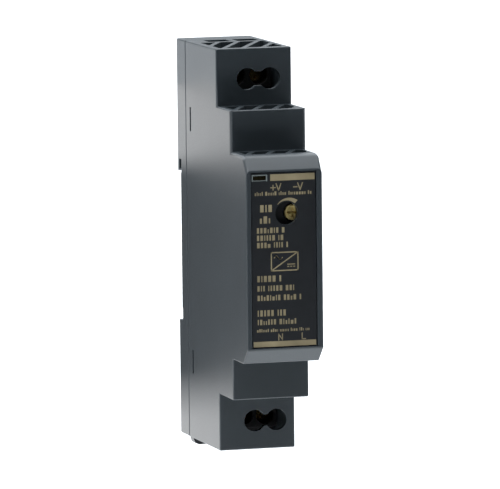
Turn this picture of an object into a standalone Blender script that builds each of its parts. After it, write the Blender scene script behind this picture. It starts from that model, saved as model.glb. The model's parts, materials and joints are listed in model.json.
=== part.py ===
"""A one-module (17.5 mm) DIN rail power supply, built as an assembly of separate pieces.

Frame: origin at the centre of the rail seat, X across the width, Y towards the rail (the back), Z up.
Metres throughout. The two shells snap together, the foot slides down against its spring to free the rail,
and each terminal screw draws its cage towards the front to clamp a wire against a fixed contact bar.
"""

import math

import bmesh
import bpy
from mathutils import Matrix, Vector

MM = 0.001

# ---------------------------------------------------------------- driving dimensions
WIDTH = 17.5 * MM
HEIGHT = 90.0 * MM
DEPTH = 54.5 * MM
MID_Z = 0.8 * MM  # the casing sits this far above the rail's centre line
BACK_Y = 2.5 * MM  # the wings reach this far behind the rail's front plane
NOSE_Y = BACK_Y - DEPTH  # front face of the nose
STEP_Y = -40.3 * MM  # front face of the middle step
BLOCK_Y = -29.3 * MM  # front face of the terminal blocks' housing
STEP_HALF = 32.2 * MM  # half heights of the stepped profile, from its middle
NOSE_HALF = 23.1 * MM
FACE_HALF = 19.8 * MM
CHAMFER_Y = 3.6 * MM  # depth of the nose's slopes
WALL = 1.3 * MM
FACE_WALL = 1.5 * MM
BROW_RADIUS = 0.9 * MM  # rounding along the sides of the nose's brow
EDGE_RADIUS = 0.3 * MM
SEAM_Y = -4.5 * MM  # front rim of the rear shell
SEAM_GAP = 0.5 * MM
GAP = 0.15 * MM  # clearance between pieces that rest on each other

HALF_X = WIDTH / 2
HALF_Z = HEIGHT / 2
INNER_X = HALF_X - WALL

# rail seat, for a 35 mm top-hat rail with 1 mm flanges
RECESS_TOP = 18.5 * MM
RECESS_BOTTOM = -18.15 * MM
PAD_TOP = 15.5 * MM
PAD_BOTTOM = -15.3 * MM
PAD_RISE = 0.35 * MM
HOOK_FRONT_Y = 1.3 * MM
HOOK_TIP_Z = 15.8 * MM
SEAT_WALL = 1.4 * MM
REAR_INNER_X = 6.85 * MM

# sliding foot
FOOT_HALF_X = 6.8 * MM
FOOT_Y = (-1.5 * MM, 1.4 * MM)
FOOT_BELOW = 2.4 * MM  # how far its tab shows below the casing
HOOK_HALF_X = 5.6 * MM
SPRING_Y = -0.05 * MM
SPRING_TOP_Z = -26.2 * MM
SPRING_FOOT_Z = -38.3 * MM
SPRING_RADIUS = 1.0 * MM
SPRING_WIRE = 0.2 * MM  # wire radius
SPRING_TURNS = 6

# ventilation slots: ribs on one slanted lattice that runs over every ledge
RIB_PITCH = 4.6 * MM
RIB_WIDTH = 1.2 * MM
RIB_SLOPE = 0.5  # X travelled for each unit of Y
RIB_SHIFT = -1.67 * MM
VENT_HALF_X = 7.35 * MM

# terminals: X of each screw, and the height of the screws from the casing's middle
OUTPUT_X = {"negative": 3.73 * MM, "positive": -1.51 * MM}
INPUT_X = {"line": 4.43 * MM, "neutral": -0.58 * MM}
OUTPUT_Z = MID_Z + 38.1 * MM
INPUT_Z = MID_Z - 38.55 * MM
ACCESS_RADIUS = 2.45 * MM
ENTRY_X = (-4.9 * MM, 6.9 * MM)  # wire entries beside the seam, parted by a rib between the poles
ENTRY_RIB = 1.4 * MM
ENTRY_Y = (-10.6 * MM, -5.9 * MM)
TERMINAL_Y = (-17.8 * MM, -4.9 * MM)  # front and back of each terminal housing
GUIDE_FRONT_Y = -20.6 * MM  # the housing reaches this far forward round the screwdriver
HEAD_Y = -17.2 * MM
HEAD_HEIGHT = 1.5 * MM
HEAD_RADIUS = 1.9 * MM
SHANK_RADIUS = 1.2 * MM
SHANK_END_Y = -10.5 * MM
WEB_Y = (-15.4 * MM, -14.6 * MM)
CAGE_Y = (-11.7 * MM, -6.2 * MM)
CAGE_HALF_X = 1.95 * MM
CAGE_HALF_Z = 2.3 * MM
BAR_Y = (-10.2 * MM, -9.6 * MM)

# label, window and trimmer on the nose's face
LABEL_X = (-7.7 * MM, 7.4 * MM)
LABEL_Z = (MID_Z - 19.4 * MM, MID_Z + 19.5 * MM)
POCKET_DEPTH = 0.7 * MM
LABEL_SINK = 0.25 * MM
LABEL_THICK = 0.3 * MM
WINDOW_X = (-7.15 * MM, -4.15 * MM)
WINDOW_Z = (18.5 * MM, 19.6 * MM)
DIAL_X = 0.57 * MM
DIAL_Z = 11.1 * MM
DIAL_RADIUS = 2.6 * MM
ROTOR_X = 2.35 * MM
ROTOR_RADIUS = 1.8 * MM

# snap latches on both sides
LATCH_Y = -8.35 * MM
LATCH_WIDTH = 1.0 * MM
LATCH_FROM_MID = (24.8 * MM, 30.2 * MM)
TONGUE_X = (6.85 * MM, 7.3 * MM)

# circuit board, on the left of the inside
BOARD_X = (-6.35 * MM, -4.85 * MM)
PART_X = BOARD_X[1] + GAP  # where components stand on the board

ROUND_STEPS = 24

# ---------------------------------------------------------------- scene, collections and materials
for old in list(bpy.data.objects):
    bpy.data.objects.remove(old)

parts = bpy.data.collections.new("din_rail_power_supply")
cutters = bpy.data.collections.new("cutters")
cutters.hide_render = True
bpy.context.scene.collection.children.link(parts)
bpy.context.scene.collection.children.link(cutters)


def material(name, color, roughness, metallic=0.0):
    made = bpy.data.materials.new(name)
    made.use_nodes = True
    shader = made.node_tree.nodes["Principled BSDF"]
    shader.inputs["Base Color"].default_value = (*color, 1.0)
    shader.inputs["Roughness"].default_value = roughness
    shader.inputs["Metallic"].default_value = metallic
    return made


SHELL = material("shell_plastic", (0.055, 0.065, 0.075), 0.42)
FOOT = material("foot_plastic", (0.03, 0.03, 0.035), 0.45)
LABEL = material("label_film", (0.018, 0.021, 0.026), 0.35)
LENS = material("window_lens", (0.06, 0.06, 0.02), 0.15)
BRASS = material("brass", (0.62, 0.46, 0.20), 0.3, 1.0)
STEEL = material("spring_steel", (0.55, 0.56, 0.58), 0.3, 1.0)
TIN = material("tinned_copper", (0.62, 0.62, 0.6), 0.35, 1.0)
BLOCK = material("terminal_plastic", (0.02, 0.02, 0.022), 0.5)
BOARD = material("board_laminate", (0.03, 0.14, 0.06), 0.5)
SHEET = material("insulation_film", (0.75, 0.74, 0.68), 0.5)
FERRITE = material("ferrite", (0.03, 0.03, 0.03), 0.7)
WINDING = material("winding_tape", (0.75, 0.6, 0.12), 0.5)
SLEEVE = material("capacitor_sleeve", (0.02, 0.02, 0.05), 0.4)
BLUE = material("blue_ceramic", (0.05, 0.14, 0.4), 0.5)
YELLOW = material("film_capacitor", (0.7, 0.55, 0.1), 0.5)
CHIP = material("chip_resin", (0.02, 0.02, 0.02), 0.5)
FIN = material("heatsink_aluminium", (0.6, 0.6, 0.6), 0.4, 1.0)
GLASS = material("fuse_ceramic", (0.8, 0.78, 0.72), 0.3)
LAMP = material("led_resin", (0.2, 0.7, 0.2), 0.2)

# ---------------------------------------------------------------- modelling helpers
# Each plane's matrix turns a shape drawn in its own XY into that plane; its thickness lies along the third
# axis.
PLANES = {
    "XY": Matrix.Identity(4),
    "YZ": Matrix(((0, 0, 1, 0), (1, 0, 0, 0), (0, 1, 0, 0), (0, 0, 0, 1))),
    "XZ": Matrix(((1, 0, 0, 0), (0, 0, -1, 0), (0, 1, 0, 0), (0, 0, 0, 1))),
}
NORMALS = {"XY": Vector((0, 0, 1)), "YZ": Vector((1, 0, 0)), "XZ": Vector((0, 1, 0))}


def smooth(obj, angle=math.radians(35)):
    obj.data.shade_smooth()
    obj.data.set_sharp_from_angle(angle=angle)


def place(obj, look):
    """Puts a new object in the parts with its material, or in the cutters if it has none."""
    for home in list(obj.users_collection):
        home.objects.unlink(obj)
    if look is None:
        cutters.objects.link(obj)
        obj.hide_render = True
        obj.display_type = "WIRE"
        return obj
    parts.objects.link(obj)
    obj.data.materials.clear()
    obj.data.materials.append(look)
    return obj


def box(name, x, y, z, look=None, bevel=0.0):
    bpy.ops.mesh.primitive_cube_add(size=1.0)
    obj = bpy.context.object
    obj.name = name
    size = Vector((x[1] - x[0], y[1] - y[0], z[1] - z[0]))
    obj.data.transform(Matrix.Diagonal((*size, 1.0)))
    obj.location = ((x[0] + x[1]) / 2, (y[0] + y[1]) / 2, (z[0] + z[1]) / 2)
    if bevel:
        rounding = obj.modifiers.new("rounding", "BEVEL")
        rounding.width = bevel
        rounding.segments = 2
    return place(obj, look)


def centred_box(name, centre, size, look=None, bevel=0.0):
    spans = [(c - s / 2, c + s / 2) for c, s in zip(centre, size)]
    return box(name, *spans, look, bevel)


def cylinder(name, centre, radius, length, axis, look=None, steps=ROUND_STEPS):
    turns = {"X": (0, math.pi / 2, 0), "Y": (math.pi / 2, 0, 0), "Z": (0, 0, 0)}
    bpy.ops.mesh.primitive_cylinder_add(
        vertices=steps, radius=radius, depth=length, location=centre, rotation=turns[axis]
    )
    obj = bpy.context.object
    obj.name = name
    smooth(obj)
    return place(obj, look)


def prism(name, outlines, plane, span, look=None):
    """Closed outlines drawn in a plane, the later ones as holes, with their thickness over the span."""
    curve = bpy.data.curves.new(name, "CURVE")
    curve.dimensions = "2D"
    curve.fill_mode = "BOTH"
    curve.extrude = (span[1] - span[0]) / 2
    for outline in outlines:
        spline = curve.splines.new("POLY")
        spline.points.add(len(outline) - 1)
        for point, (u, v) in zip(spline.points, outline):
            point.co = (u, v, 0, 1)
        spline.use_cyclic_u = True
    drawn = bpy.data.objects.new(name + "_curve", curve)
    bpy.context.scene.collection.objects.link(drawn)
    bpy.context.view_layer.update()
    graph = bpy.context.evaluated_depsgraph_get()
    mesh = bpy.data.meshes.new_from_object(drawn.evaluated_get(graph))
    bpy.data.objects.remove(drawn)
    shape = bmesh.new()
    shape.from_mesh(mesh)
    bmesh.ops.remove_doubles(shape, verts=shape.verts, dist=1e-6)
    bmesh.ops.recalc_face_normals(shape, faces=shape.faces)
    shape.to_mesh(mesh)
    shape.free()
    obj = bpy.data.objects.new(name, mesh)
    middle = NORMALS[plane] * (span[0] + span[1]) / 2
    obj.matrix_world = Matrix.Translation(middle) @ PLANES[plane]
    bpy.context.scene.collection.objects.link(obj)
    return place(obj, look)


def turned(name, profile, centre, axis, look=None, steps=ROUND_STEPS):
    """A profile of (radius, height) points, from the top down its outer side, turned round the axis."""
    turns = {"Z": (0, 0, 0), "-Y": (math.pi / 2, 0, 0), "X": (0, math.pi / 2, 0)}
    mesh = bpy.data.meshes.new(name)
    mesh.from_pydata(
        [(r, 0, h) for r, h in profile], [(i, i + 1) for i in range(len(profile) - 1)], []
    )
    obj = bpy.data.objects.new(name, mesh)
    bpy.context.scene.collection.objects.link(obj)
    obj.location = centre
    obj.rotation_euler = turns[axis]
    screw = obj.modifiers.new("turn", "SCREW")
    screw.steps = steps
    screw.render_steps = steps
    screw.use_merge_vertices = True
    screw.merge_threshold = 1e-5
    return place(obj, look)


def boolean(target, tool, operation):
    made = target.modifiers.new(operation.lower(), "BOOLEAN")
    made.operation = operation
    made.object = tool


def cut(target, *tools):
    for tool in tools:
        boolean(target, tool, "DIFFERENCE")


def join(target, *tools):
    for tool in tools:
        boolean(target, tool, "UNION")


def cross_recess(target, x, z, front, arm, half):
    """Cuts a screwdriver's cross, 0.8 mm deep, into a face that looks forward."""
    for n, (u, v) in enumerate(((arm, half), (half, arm))):
        slot = rectangle((x - u, x + u), (z - v, z + v))
        cut(target, prism(f"{target.name}_slot_{n}", [slot], "XZ", (front - MM, front + 0.8 * MM)))


def circle(u, v, radius, steps=ROUND_STEPS):
    turns = [2 * math.pi * i / steps for i in range(steps)]
    return [(u + radius * math.cos(t), v + radius * math.sin(t)) for t in turns]


def rectangle(u, v):
    return [(u[0], v[0]), (u[1], v[0]), (u[1], v[1]), (u[0], v[1])]


def clip(polygon, axis, limit, keep_above):
    """The part of a convex polygon on one side of a line square to an axis."""
    kept = []
    for a, b in zip(polygon, polygon[1:] + polygon[:1]):
        inside_a = (a[axis] >= limit) == keep_above
        inside_b = (b[axis] >= limit) == keep_above
        if inside_a:
            kept.append(a)
        if inside_a != inside_b:
            share = (limit - a[axis]) / (b[axis] - a[axis])
            kept.append(tuple(p + share * (q - p) for p, q in zip(a, b)))
    return kept


# ---------------------------------------------------------------- casing
def stepped_profile(inset, face_inset, back):
    """The casing's side profile as (y, z), from the seam's top round the front; inset makes the inside."""
    block, step, nose = BLOCK_Y + inset, STEP_Y + inset, NOSE_Y + face_inset
    top, shelf = HALF_Z - inset, STEP_HALF - inset
    ledge, face = NOSE_HALF - inset, FACE_HALF - inset * 0.4
    slope = NOSE_Y + CHAMFER_Y + inset * 0.4
    # The nose's upper slope starts steep and rounds over into the ledge.
    brow = [(nose, face), (nose + 1.9 * MM, ledge - 0.7 * MM)]
    brow += [(nose + 2.5 * MM, ledge - 0.28 * MM), (nose + 3.3 * MM, ledge - 0.06 * MM)]
    brow += [(slope + 0.4 * MM, ledge)]
    upper = [(back, top), (block, top), (block, shelf), (step, shelf), (step, ledge)] + brow[::-1]
    lower = [(nose, -face), (slope, -ledge), (step, -ledge)]
    lower += [(step, -shelf), (block, -shelf), (block, -top), (back, -top)]
    return [(y, MID_Z + z) for y, z in upper + lower]


def round_outer_edges(obj, flat_y, radius, brow_radius=None, segments=3):
    """Bevels every sharp edge of a mesh in world space but those that lie at the rim's depth."""
    widest = brow_radius or radius
    shape = bmesh.new()
    shape.from_mesh(obj.data)
    bmesh.ops.dissolve_limit(shape, angle_limit=0.01, verts=shape.verts, edges=shape.edges)
    weight = shape.edges.layers.float.new("bevel_weight_edge")
    for edge in shape.edges:
        a, b = (obj.matrix_world @ vert.co for vert in edge.verts)
        on_rim = abs(a.y - flat_y) < 1e-5 and abs(b.y - flat_y) < 1e-5
        sharp = edge.calc_face_angle(0.0) > math.radians(30)
        if not sharp or not edge.is_convex or on_rim:
            continue
        middle = (a + b) / 2
        on_brow = abs(a.x - b.x) < 1e-6 and middle.y < STEP_Y and middle.z > MID_Z + FACE_HALF
        edge[weight] = 1.0 if on_brow else radius / widest
    shape.to_mesh(obj.data)
    shape.free()
    rounding = obj.modifiers.new("rounding", "BEVEL")
    rounding.width = widest
    rounding.segments = segments
    rounding.limit_method = "WEIGHT"


def slot_cells(window_y):
    """The openings between slanted ribs inside a window, as (x, y) outlines."""
    cells = []
    for k in range(-2, 14):
        left = [RIB_SHIFT + RIB_SLOPE * y + RIB_PITCH * k + RIB_WIDTH / 2 for y in window_y]
        right = [x + RIB_PITCH - RIB_WIDTH for x in left]
        cell = [(left[0], window_y[0]), (right[0], window_y[0])]
        cell += [(right[1], window_y[1]), (left[1], window_y[1])]
        cell = clip(clip(cell, 0, -VENT_HALF_X, True), 0, VENT_HALF_X, False)
        if len(cell) > 2 and max(p[0] for p in cell) - min(p[0] for p in cell) > 1.2 * MM:
            cells.append(cell)
    return cells


def access_outlines(xs, z, neck):
    """Two round screwdriver holes joined by a neck."""
    left, right = min(xs), max(xs)
    angle = math.asin(neck / ACCESS_RADIUS)
    steps = 22
    sweep = [angle + (2 * math.pi - 2 * angle) * i / steps for i in range(steps + 1)]
    ring = [(left + ACCESS_RADIUS * math.cos(t), z + ACCESS_RADIUS * math.sin(t)) for t in sweep]
    return [ring + [(left + right - x, 2 * z - y) for x, y in ring]]


def front_shell():
    rim = SEAM_Y - SEAM_GAP
    shell = prism("front_shell", [stepped_profile(0, 0, rim)], "YZ", (-HALF_X, HALF_X), SHELL)
    round_outer_edges(shell, rim, EDGE_RADIUS, BROW_RADIUS)
    inside = stepped_profile(WALL, FACE_WALL, rim + 1 * MM)
    cut(shell, prism("shell_inside", [inside], "YZ", (-INNER_X, INNER_X)))

    deep = WALL + 1.2 * MM
    windows = [
        (HALF_Z, (BLOCK_Y + 1.4 * MM, -12.4 * MM)),
        (STEP_HALF, (STEP_Y + 1.0 * MM, BLOCK_Y - 1.2 * MM)),
        (NOSE_HALF, (NOSE_Y + 4.6 * MM, STEP_Y - 1.2 * MM)),
    ]
    for level, (half, window) in enumerate(windows):
        for side in (1, -1):
            span = sorted((MID_Z + side * (half - deep), MID_Z + side * (half + 1 * MM)))
            for n, cell in enumerate(slot_cells(window)):
                cut(shell, prism(f"slot_{level}_{side}_{n}", [cell], "XY", span))
    for xs, side in ((OUTPUT_X, 1), (INPUT_X, -1)):
        span = sorted((MID_Z + side * (HALF_Z - deep), MID_Z + side * (HALF_Z + 1 * MM)))
        middle = sum(xs.values()) / 2
        sides = ((ENTRY_X[0], middle - ENTRY_RIB / 2), (middle + ENTRY_RIB / 2, ENTRY_X[1]))
        for n, entry_x in enumerate(sides):
            cut(shell, prism(f"entry_{side}_{n}", [rectangle(entry_x, ENTRY_Y)], "XY", span))
    # ribs inside the steps, which hold the board against the side wall
    for side in (1, -1):
        roof = STEP_HALF - WALL
        span = sorted((MID_Z + side * (roof + 0.3 * MM), MID_Z + side * (roof - 1.1 * MM)))
        join(shell, box(f"board_rib_{side}", (PART_X, PART_X + 0.9 * MM), (-30.2 * MM, -28.9 * MM), span))

    wall = (BLOCK_Y - 1 * MM, BLOCK_Y + WALL + 1 * MM)
    outputs = access_outlines(OUTPUT_X.values(), OUTPUT_Z, 1.6 * MM)
    inputs = access_outlines(INPUT_X.values(), INPUT_Z, 1.3 * MM)
    cut(shell, prism("output_access", outputs, "XZ", wall), prism("input_access", inputs, "XZ", wall))

    pocket = (NOSE_Y - 1 * MM, NOSE_Y + POCKET_DEPTH)
    cut(shell, prism("label_pocket", [rectangle(LABEL_X, LABEL_Z)], "XZ", pocket))
    face = (NOSE_Y - 1 * MM, NOSE_Y + FACE_WALL + 1 * MM)
    cut(shell, prism("dial_hole", [circle(DIAL_X, DIAL_Z, DIAL_RADIUS)], "XZ", face))
    cut(shell, prism("window_hole", [rectangle(WINDOW_X, WINDOW_Z)], "XZ", face))

    catch = (LATCH_Y - LATCH_WIDTH / 2, LATCH_Y + LATCH_WIDTH / 2)
    for side in (1, -1):
        span = sorted((MID_Z + side * LATCH_FROM_MID[0], MID_Z + side * LATCH_FROM_MID[1]))
        cut(shell, box(f"latch_window_{side}", (-10 * MM, 10 * MM), catch, span))
    return shell


def rear_shell():
    top, bottom = MID_Z + HALF_Z, MID_Z - HALF_Z
    body = rectangle((SEAM_Y, BACK_Y), (bottom, top))
    shell = prism("rear_shell", [body], "YZ", (-HALF_X, HALF_X), SHELL)
    round_outer_edges(shell, SEAM_Y, EDGE_RADIUS, segments=2)

    recess = [
        (4 * MM, RECESS_BOTTOM),
        (-PAD_RISE, RECESS_BOTTOM),
        (-PAD_RISE, PAD_BOTTOM),
        (0, PAD_BOTTOM),
        (0, PAD_TOP),
        (-PAD_RISE, PAD_TOP),
        (-PAD_RISE, RECESS_TOP),
        (HOOK_FRONT_Y, RECESS_TOP),
        (HOOK_FRONT_Y, HOOK_TIP_Z + 0.6 * MM),
        (HOOK_FRONT_Y + 0.6 * MM, HOOK_TIP_Z),
        (4 * MM, HOOK_TIP_Z),
    ]
    cut(shell, prism("rail_recess", [recess], "YZ", (-10 * MM, 10 * MM)))

    floor, ledge = FOOT_Y[0] - 0.2 * MM, FOOT_Y[1] + 0.2 * MM
    inside = [
        (SEAM_Y - 1 * MM, top - WALL),
        (BACK_Y - WALL, top - WALL),
        (BACK_Y - WALL, RECESS_TOP + WALL),
        (-SEAT_WALL, RECESS_TOP + WALL),
        (-SEAT_WALL, PAD_BOTTOM - 1.4 * MM),
        (floor - WALL, PAD_BOTTOM - 1.4 * MM),
        (floor - WALL, bottom + WALL),
        (SEAM_Y - 1 * MM, bottom + WALL),
    ]
    cut(shell, prism("rear_inside", [inside], "YZ", (-REAR_INNER_X, REAR_INNER_X)))

    # T-shaped channel: the foot's plate runs in the wide part, its hook between the lips
    wide, lip = FOOT_HALF_X + 0.2 * MM, HOOK_HALF_X + 0.3 * MM
    channel = [(-wide, floor), (wide, floor), (wide, ledge), (lip, ledge)]
    channel += [(lip, 4 * MM), (-lip, 4 * MM), (-lip, ledge), (-wide, ledge)]
    cut(shell, prism("foot_channel", [channel], "XY", (bottom - 1 * MM, RECESS_BOTTOM + 0.5 * MM)))

    # the post that the foot's spring stands on
    post_z = (SPRING_FOOT_Z - 1.6 * MM, SPRING_FOOT_Z - GAP)
    join(shell, box("spring_post", (-1.6 * MM, 1.6 * MM), (floor - 0.5 * MM, ledge - 0.6 * MM), post_z))

    # locating strips and latch tongues reach into the front shell
    for side in (1, -1):
        span = sorted((side * TONGUE_X[0], side * TONGUE_X[1]))
        strip_z = (MID_Z - 31 * MM, MID_Z + 31 * MM)
        strip_y = (SEAM_Y - 1.1 * MM, SEAM_Y + 0.6 * MM)
        join(shell, box(f"strip_{side}", span, strip_y, strip_z))
        for level in (1, -1):
            inner, outer = (MID_Z + level * edge for edge in LATCH_FROM_MID)
            tongue_z = sorted((inner + level * 0.1 * MM, outer - level * 0.1 * MM))
            tongue_y = (LATCH_Y - 1.3 * MM, SEAM_Y + 0.3 * MM)
            catch_x = sorted((side * (TONGUE_X[1] - 0.1 * MM), side * (HALF_X - 0.5 * MM)))
            half = LATCH_WIDTH / 2 - 0.12 * MM
            join(shell, box(f"tongue_{side}_{level}", span, tongue_y, tongue_z))
            join(shell, box(f"catch_{side}_{level}", catch_x, (LATCH_Y - half, LATCH_Y + half), tongue_z))
    return shell


def label_plate():
    back = NOSE_Y + LABEL_SINK + LABEL_THICK
    edge = 0.2 * MM
    outer = rectangle((LABEL_X[0] + edge, LABEL_X[1] - edge), (LABEL_Z[0] + edge, LABEL_Z[1] - edge))
    holes = [circle(DIAL_X, DIAL_Z, DIAL_RADIUS, 32)]
    room = 0.1 * MM
    holes.append(
        rectangle((WINDOW_X[0] - room, WINDOW_X[1] + room), (WINDOW_Z[0] - room, WINDOW_Z[1] + room))
    )
    return prism("label_plate", [outer, *holes], "XZ", (back - LABEL_THICK, back), LABEL)


def led_window():
    depth = (NOSE_Y + LABEL_SINK - 0.05 * MM, NOSE_Y + FACE_WALL + 0.6 * MM)
    room = 0.08 * MM
    width = (WINDOW_X[0] + room, WINDOW_X[1] - room)
    height = (WINDOW_Z[0] + room, WINDOW_Z[1] - room)
    lens = box("led_window", width, depth, height, LENS)
    # its inner end reaches sideways over the lamp on the board
    arm_y = (NOSE_Y + FACE_WALL + 0.15 * MM, depth[1])
    join(lens, box("light_arm", (width[1] - 0.5 * MM, PART_X + 1.1 * MM), arm_y, height))
    return lens


# ---------------------------------------------------------------- rail foot and its spring
def rail_foot():
    bottom = MID_Z - HALF_Z - FOOT_BELOW
    corner = 1.2 * MM
    plate = [
        (-FOOT_HALF_X, bottom + corner),
        (-FOOT_HALF_X + corner * 0.3, bottom + corner * 0.3),
        (-FOOT_HALF_X + corner, bottom),
        (FOOT_HALF_X - corner, bottom),
        (FOOT_HALF_X - corner * 0.3, bottom + corner * 0.3),
        (FOOT_HALF_X, bottom + corner),
        (FOOT_HALF_X, -22.0 * MM),
        (-FOOT_HALF_X, -22.0 * MM),
    ]
    spring_window = rectangle((-2.2 * MM, 2.2 * MM), (SPRING_FOOT_Z - 1.9 * MM, SPRING_TOP_Z + GAP))
    tool_slot = rectangle((-3 * MM, 3 * MM), (bottom + 0.8 * MM, bottom + 2.0 * MM))
    foot = prism("rail_foot", [plate, spring_window, tool_slot], "XZ", FOOT_Y, FOOT)
    hook = [
        (FOOT_Y[0], -23.5 * MM),
        (FOOT_Y[1], -23.5 * MM),
        (2.3 * MM, -22.3 * MM),
        (2.3 * MM, -16.6 * MM),
        (1.9 * MM, -15.6 * MM),
        (1.35 * MM, -15.6 * MM),
        (1.35 * MM, -17.8 * MM),
        (FOOT_Y[0], -17.8 * MM),
    ]
    join(foot, prism("foot_hook", [hook], "YZ", (-HOOK_HALF_X, HOOK_HALF_X)))
    for n in range(3):
        z = (-42.9 + 1.0 * n) * MM
        groove = ((FOOT_Y[1] - 0.3 * MM), (FOOT_Y[1] + 1 * MM))
        cut(foot, box(f"grip_groove_{n}", (-4 * MM, 4 * MM), groove, (z - 0.25 * MM, z + 0.25 * MM)))
    return foot


def foot_spring():
    curve = bpy.data.curves.new("foot_spring", "CURVE")
    curve.dimensions = "3D"
    curve.bevel_depth = SPRING_WIRE
    curve.bevel_resolution = 1
    curve.use_fill_caps = True
    low, high = SPRING_FOOT_Z + SPRING_WIRE, SPRING_TOP_Z - SPRING_WIRE
    steps = 12
    count = SPRING_TURNS * steps + 1
    spline = curve.splines.new("POLY")
    spline.points.add(count - 1)
    for i, point in enumerate(spline.points):
        turn = 2 * math.pi * i / steps
        x, y = SPRING_RADIUS * math.cos(turn), SPRING_RADIUS * math.sin(turn)
        point.co = (x, y, low + (high - low) * i / (count - 1), 1)
    obj = bpy.data.objects.new("foot_spring", curve)
    bpy.context.scene.collection.objects.link(obj)
    obj.location = (0, SPRING_Y, 0)
    return place(obj, STEEL)


# ---------------------------------------------------------------- terminals
def terminal_housing(name, xs, z, side):
    """Block with, for each pole, a bore for the screw, a chamber for the cage and a way in for the wire."""
    left, right = min(xs) - 2.75 * MM, max(xs) + 2.75 * MM
    outer = MID_Z + side * (HALF_Z - WALL - 0.3 * MM)
    span = sorted((outer, z - side * 4.6 * MM))
    block = box(name, (left, right), TERMINAL_Y, span, BLOCK)
    guide_y = (GUIDE_FRONT_Y, TERMINAL_Y[0] + 0.5 * MM)
    join(block, box(name + "_guide", (left, right), guide_y, (z - 2.8 * MM, z + 2.8 * MM)))
    for n, x in enumerate(xs):
        chamber_x = (x - CAGE_HALF_X - 0.2 * MM, x + CAGE_HALF_X + 0.2 * MM)
        chamber_y = (WEB_Y[1], TERMINAL_Y[1] - 1.0 * MM)
        chamber_z = (z - 2.9 * MM, z + 2.9 * MM)
        cut(block, box(f"{name}_chamber_{n}", chamber_x, chamber_y, chamber_z))
        front = GUIDE_FRONT_Y - 1 * MM
        middle, length = (front + WEB_Y[0]) / 2, WEB_Y[0] - front
        cut(block, cylinder(f"{name}_head_bore_{n}", (x, middle, z), 2.1 * MM, length, "Y"))
        cut(block, cylinder(f"{name}_web_bore_{n}", (x, -15 * MM, z), 1.4 * MM, 3 * MM, "Y", steps=16))
        wire_z = sorted((z + side * 2.5 * MM, z + side * 7 * MM))
        wire_x = (x - 1.6 * MM, x + 1.6 * MM)
        cut(block, box(f"{name}_wire_way_{n}", wire_x, (-9.6 * MM, -7.0 * MM), wire_z))
        bar_z = sorted((z - side * 2.5 * MM, z - side * 7 * MM))
        bar_y = (BAR_Y[0] - GAP, BAR_Y[1] + GAP)
        cut(block, box(f"{name}_bar_way_{n}", (x - 1.35 * MM, x + 1.35 * MM), bar_y, bar_z))
    return block


def terminal_screw(name, x, z):
    length = SHANK_END_Y - HEAD_Y
    profile = [
        (0, 0),
        (HEAD_RADIUS - 0.3 * MM, 0),
        (HEAD_RADIUS, -0.35 * MM),
        (HEAD_RADIUS, -HEAD_HEIGHT),
        (SHANK_RADIUS, -HEAD_HEIGHT),
        (SHANK_RADIUS, 0.35 * MM - length),
        (SHANK_RADIUS - 0.35 * MM, -length),
        (0, -length),
    ]
    screw = turned(name, profile, (x, HEAD_Y, z), "-Y", BRASS, 20)
    cross_recess(screw, x, z, HEAD_Y, 1.35 * MM, 0.3 * MM)


def clamp_cage(name, x, z):
    """A folded ring: the screw threads into its front wall, and its back wall presses the wire."""
    outer = rectangle((x - CAGE_HALF_X, x + CAGE_HALF_X), CAGE_Y)
    room = (CAGE_Y[0] + 1.1 * MM, CAGE_Y[1] - 0.8 * MM)
    inner = rectangle((x - CAGE_HALF_X + 0.45 * MM, x + CAGE_HALF_X - 0.45 * MM), room)
    cage = prism(name, [outer, inner], "XY", (z - CAGE_HALF_Z, z + CAGE_HALF_Z), TIN)
    hole, hole_y = SHANK_RADIUS + 0.08 * MM, CAGE_Y[0] + 0.5 * MM
    cut(cage, cylinder(name + "_thread", (x, hole_y, z), hole, 2 * MM, "Y", steps=20))
    return cage


def contact_bar(name, x, z, side, leg):
    """Strip that the wire is clamped against; below the housing it turns across to the board."""
    top, low = z + side * 2.6 * MM, z - side * (5.6 * MM + leg)
    turn = low + side * 0.7 * MM
    outline = [(x - 1.2 * MM, top), (x + 1.2 * MM, top), (x + 1.2 * MM, low)]
    outline += [(PART_X, low), (PART_X, turn), (x - 1.2 * MM, turn)]
    return prism(name, [outline], "XZ", BAR_Y, TIN)


def terminals():
    rows = (("output", OUTPUT_X, OUTPUT_Z, 1), ("input", INPUT_X, INPUT_Z, -1))
    for row, xs, z, side in rows:
        terminal_housing(f"{row}_terminal_housing", list(xs.values()), z, side)
        for n, (pole, x) in enumerate(xs.items()):
            terminal_screw(f"terminal_screw_{pole}", x, z)
            clamp_cage(f"clamp_cage_{pole}", x, z)
            contact_bar(f"contact_bar_{pole}", x, z, side, (1 - n) * 1.2 * MM)


# ---------------------------------------------------------------- circuit board and components
def main_board():
    """A stepped board that fills the casing's side profile, with an insulating sheet behind it."""
    back = -10.2 * MM
    half = 42.9 * MM
    upper = [(back, half), (-27.6 * MM, half), (-27.6 * MM, 30.4 * MM), (-38.6 * MM, 30.4 * MM)]
    upper += [(-38.6 * MM, 21.2 * MM), (-45.6 * MM, 21.2 * MM), (-49.3 * MM, 18.6 * MM)]
    outline = [(y, MID_Z + z) for y, z in upper] + [(y, MID_Z - z) for y, z in upper[::-1]]
    prism("main_board", [outline], "YZ", BOARD_X, BOARD)
    prism("insulation_sheet", [outline], "YZ", (BOARD_X[0] - 0.35 * MM, BOARD_X[0] - GAP), SHEET)


def electrolytic(name, y, z, radius, length, standoff=0.0):
    """A can that lies along Y, with a crimped groove near its leads."""
    x = PART_X + standoff + radius
    half = length / 2
    profile = [
        (0, half),
        (radius - 0.3 * MM, half),
        (radius, half - 0.3 * MM),
        (radius, 1.9 * MM - half),
        (radius - 0.35 * MM, 1.5 * MM - half),
        (radius, 1.1 * MM - half),
        (radius, -half),
        (0, -half),
    ]
    return turned(name, profile, (x, y, z), "-Y", SLEEVE, 20)


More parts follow.
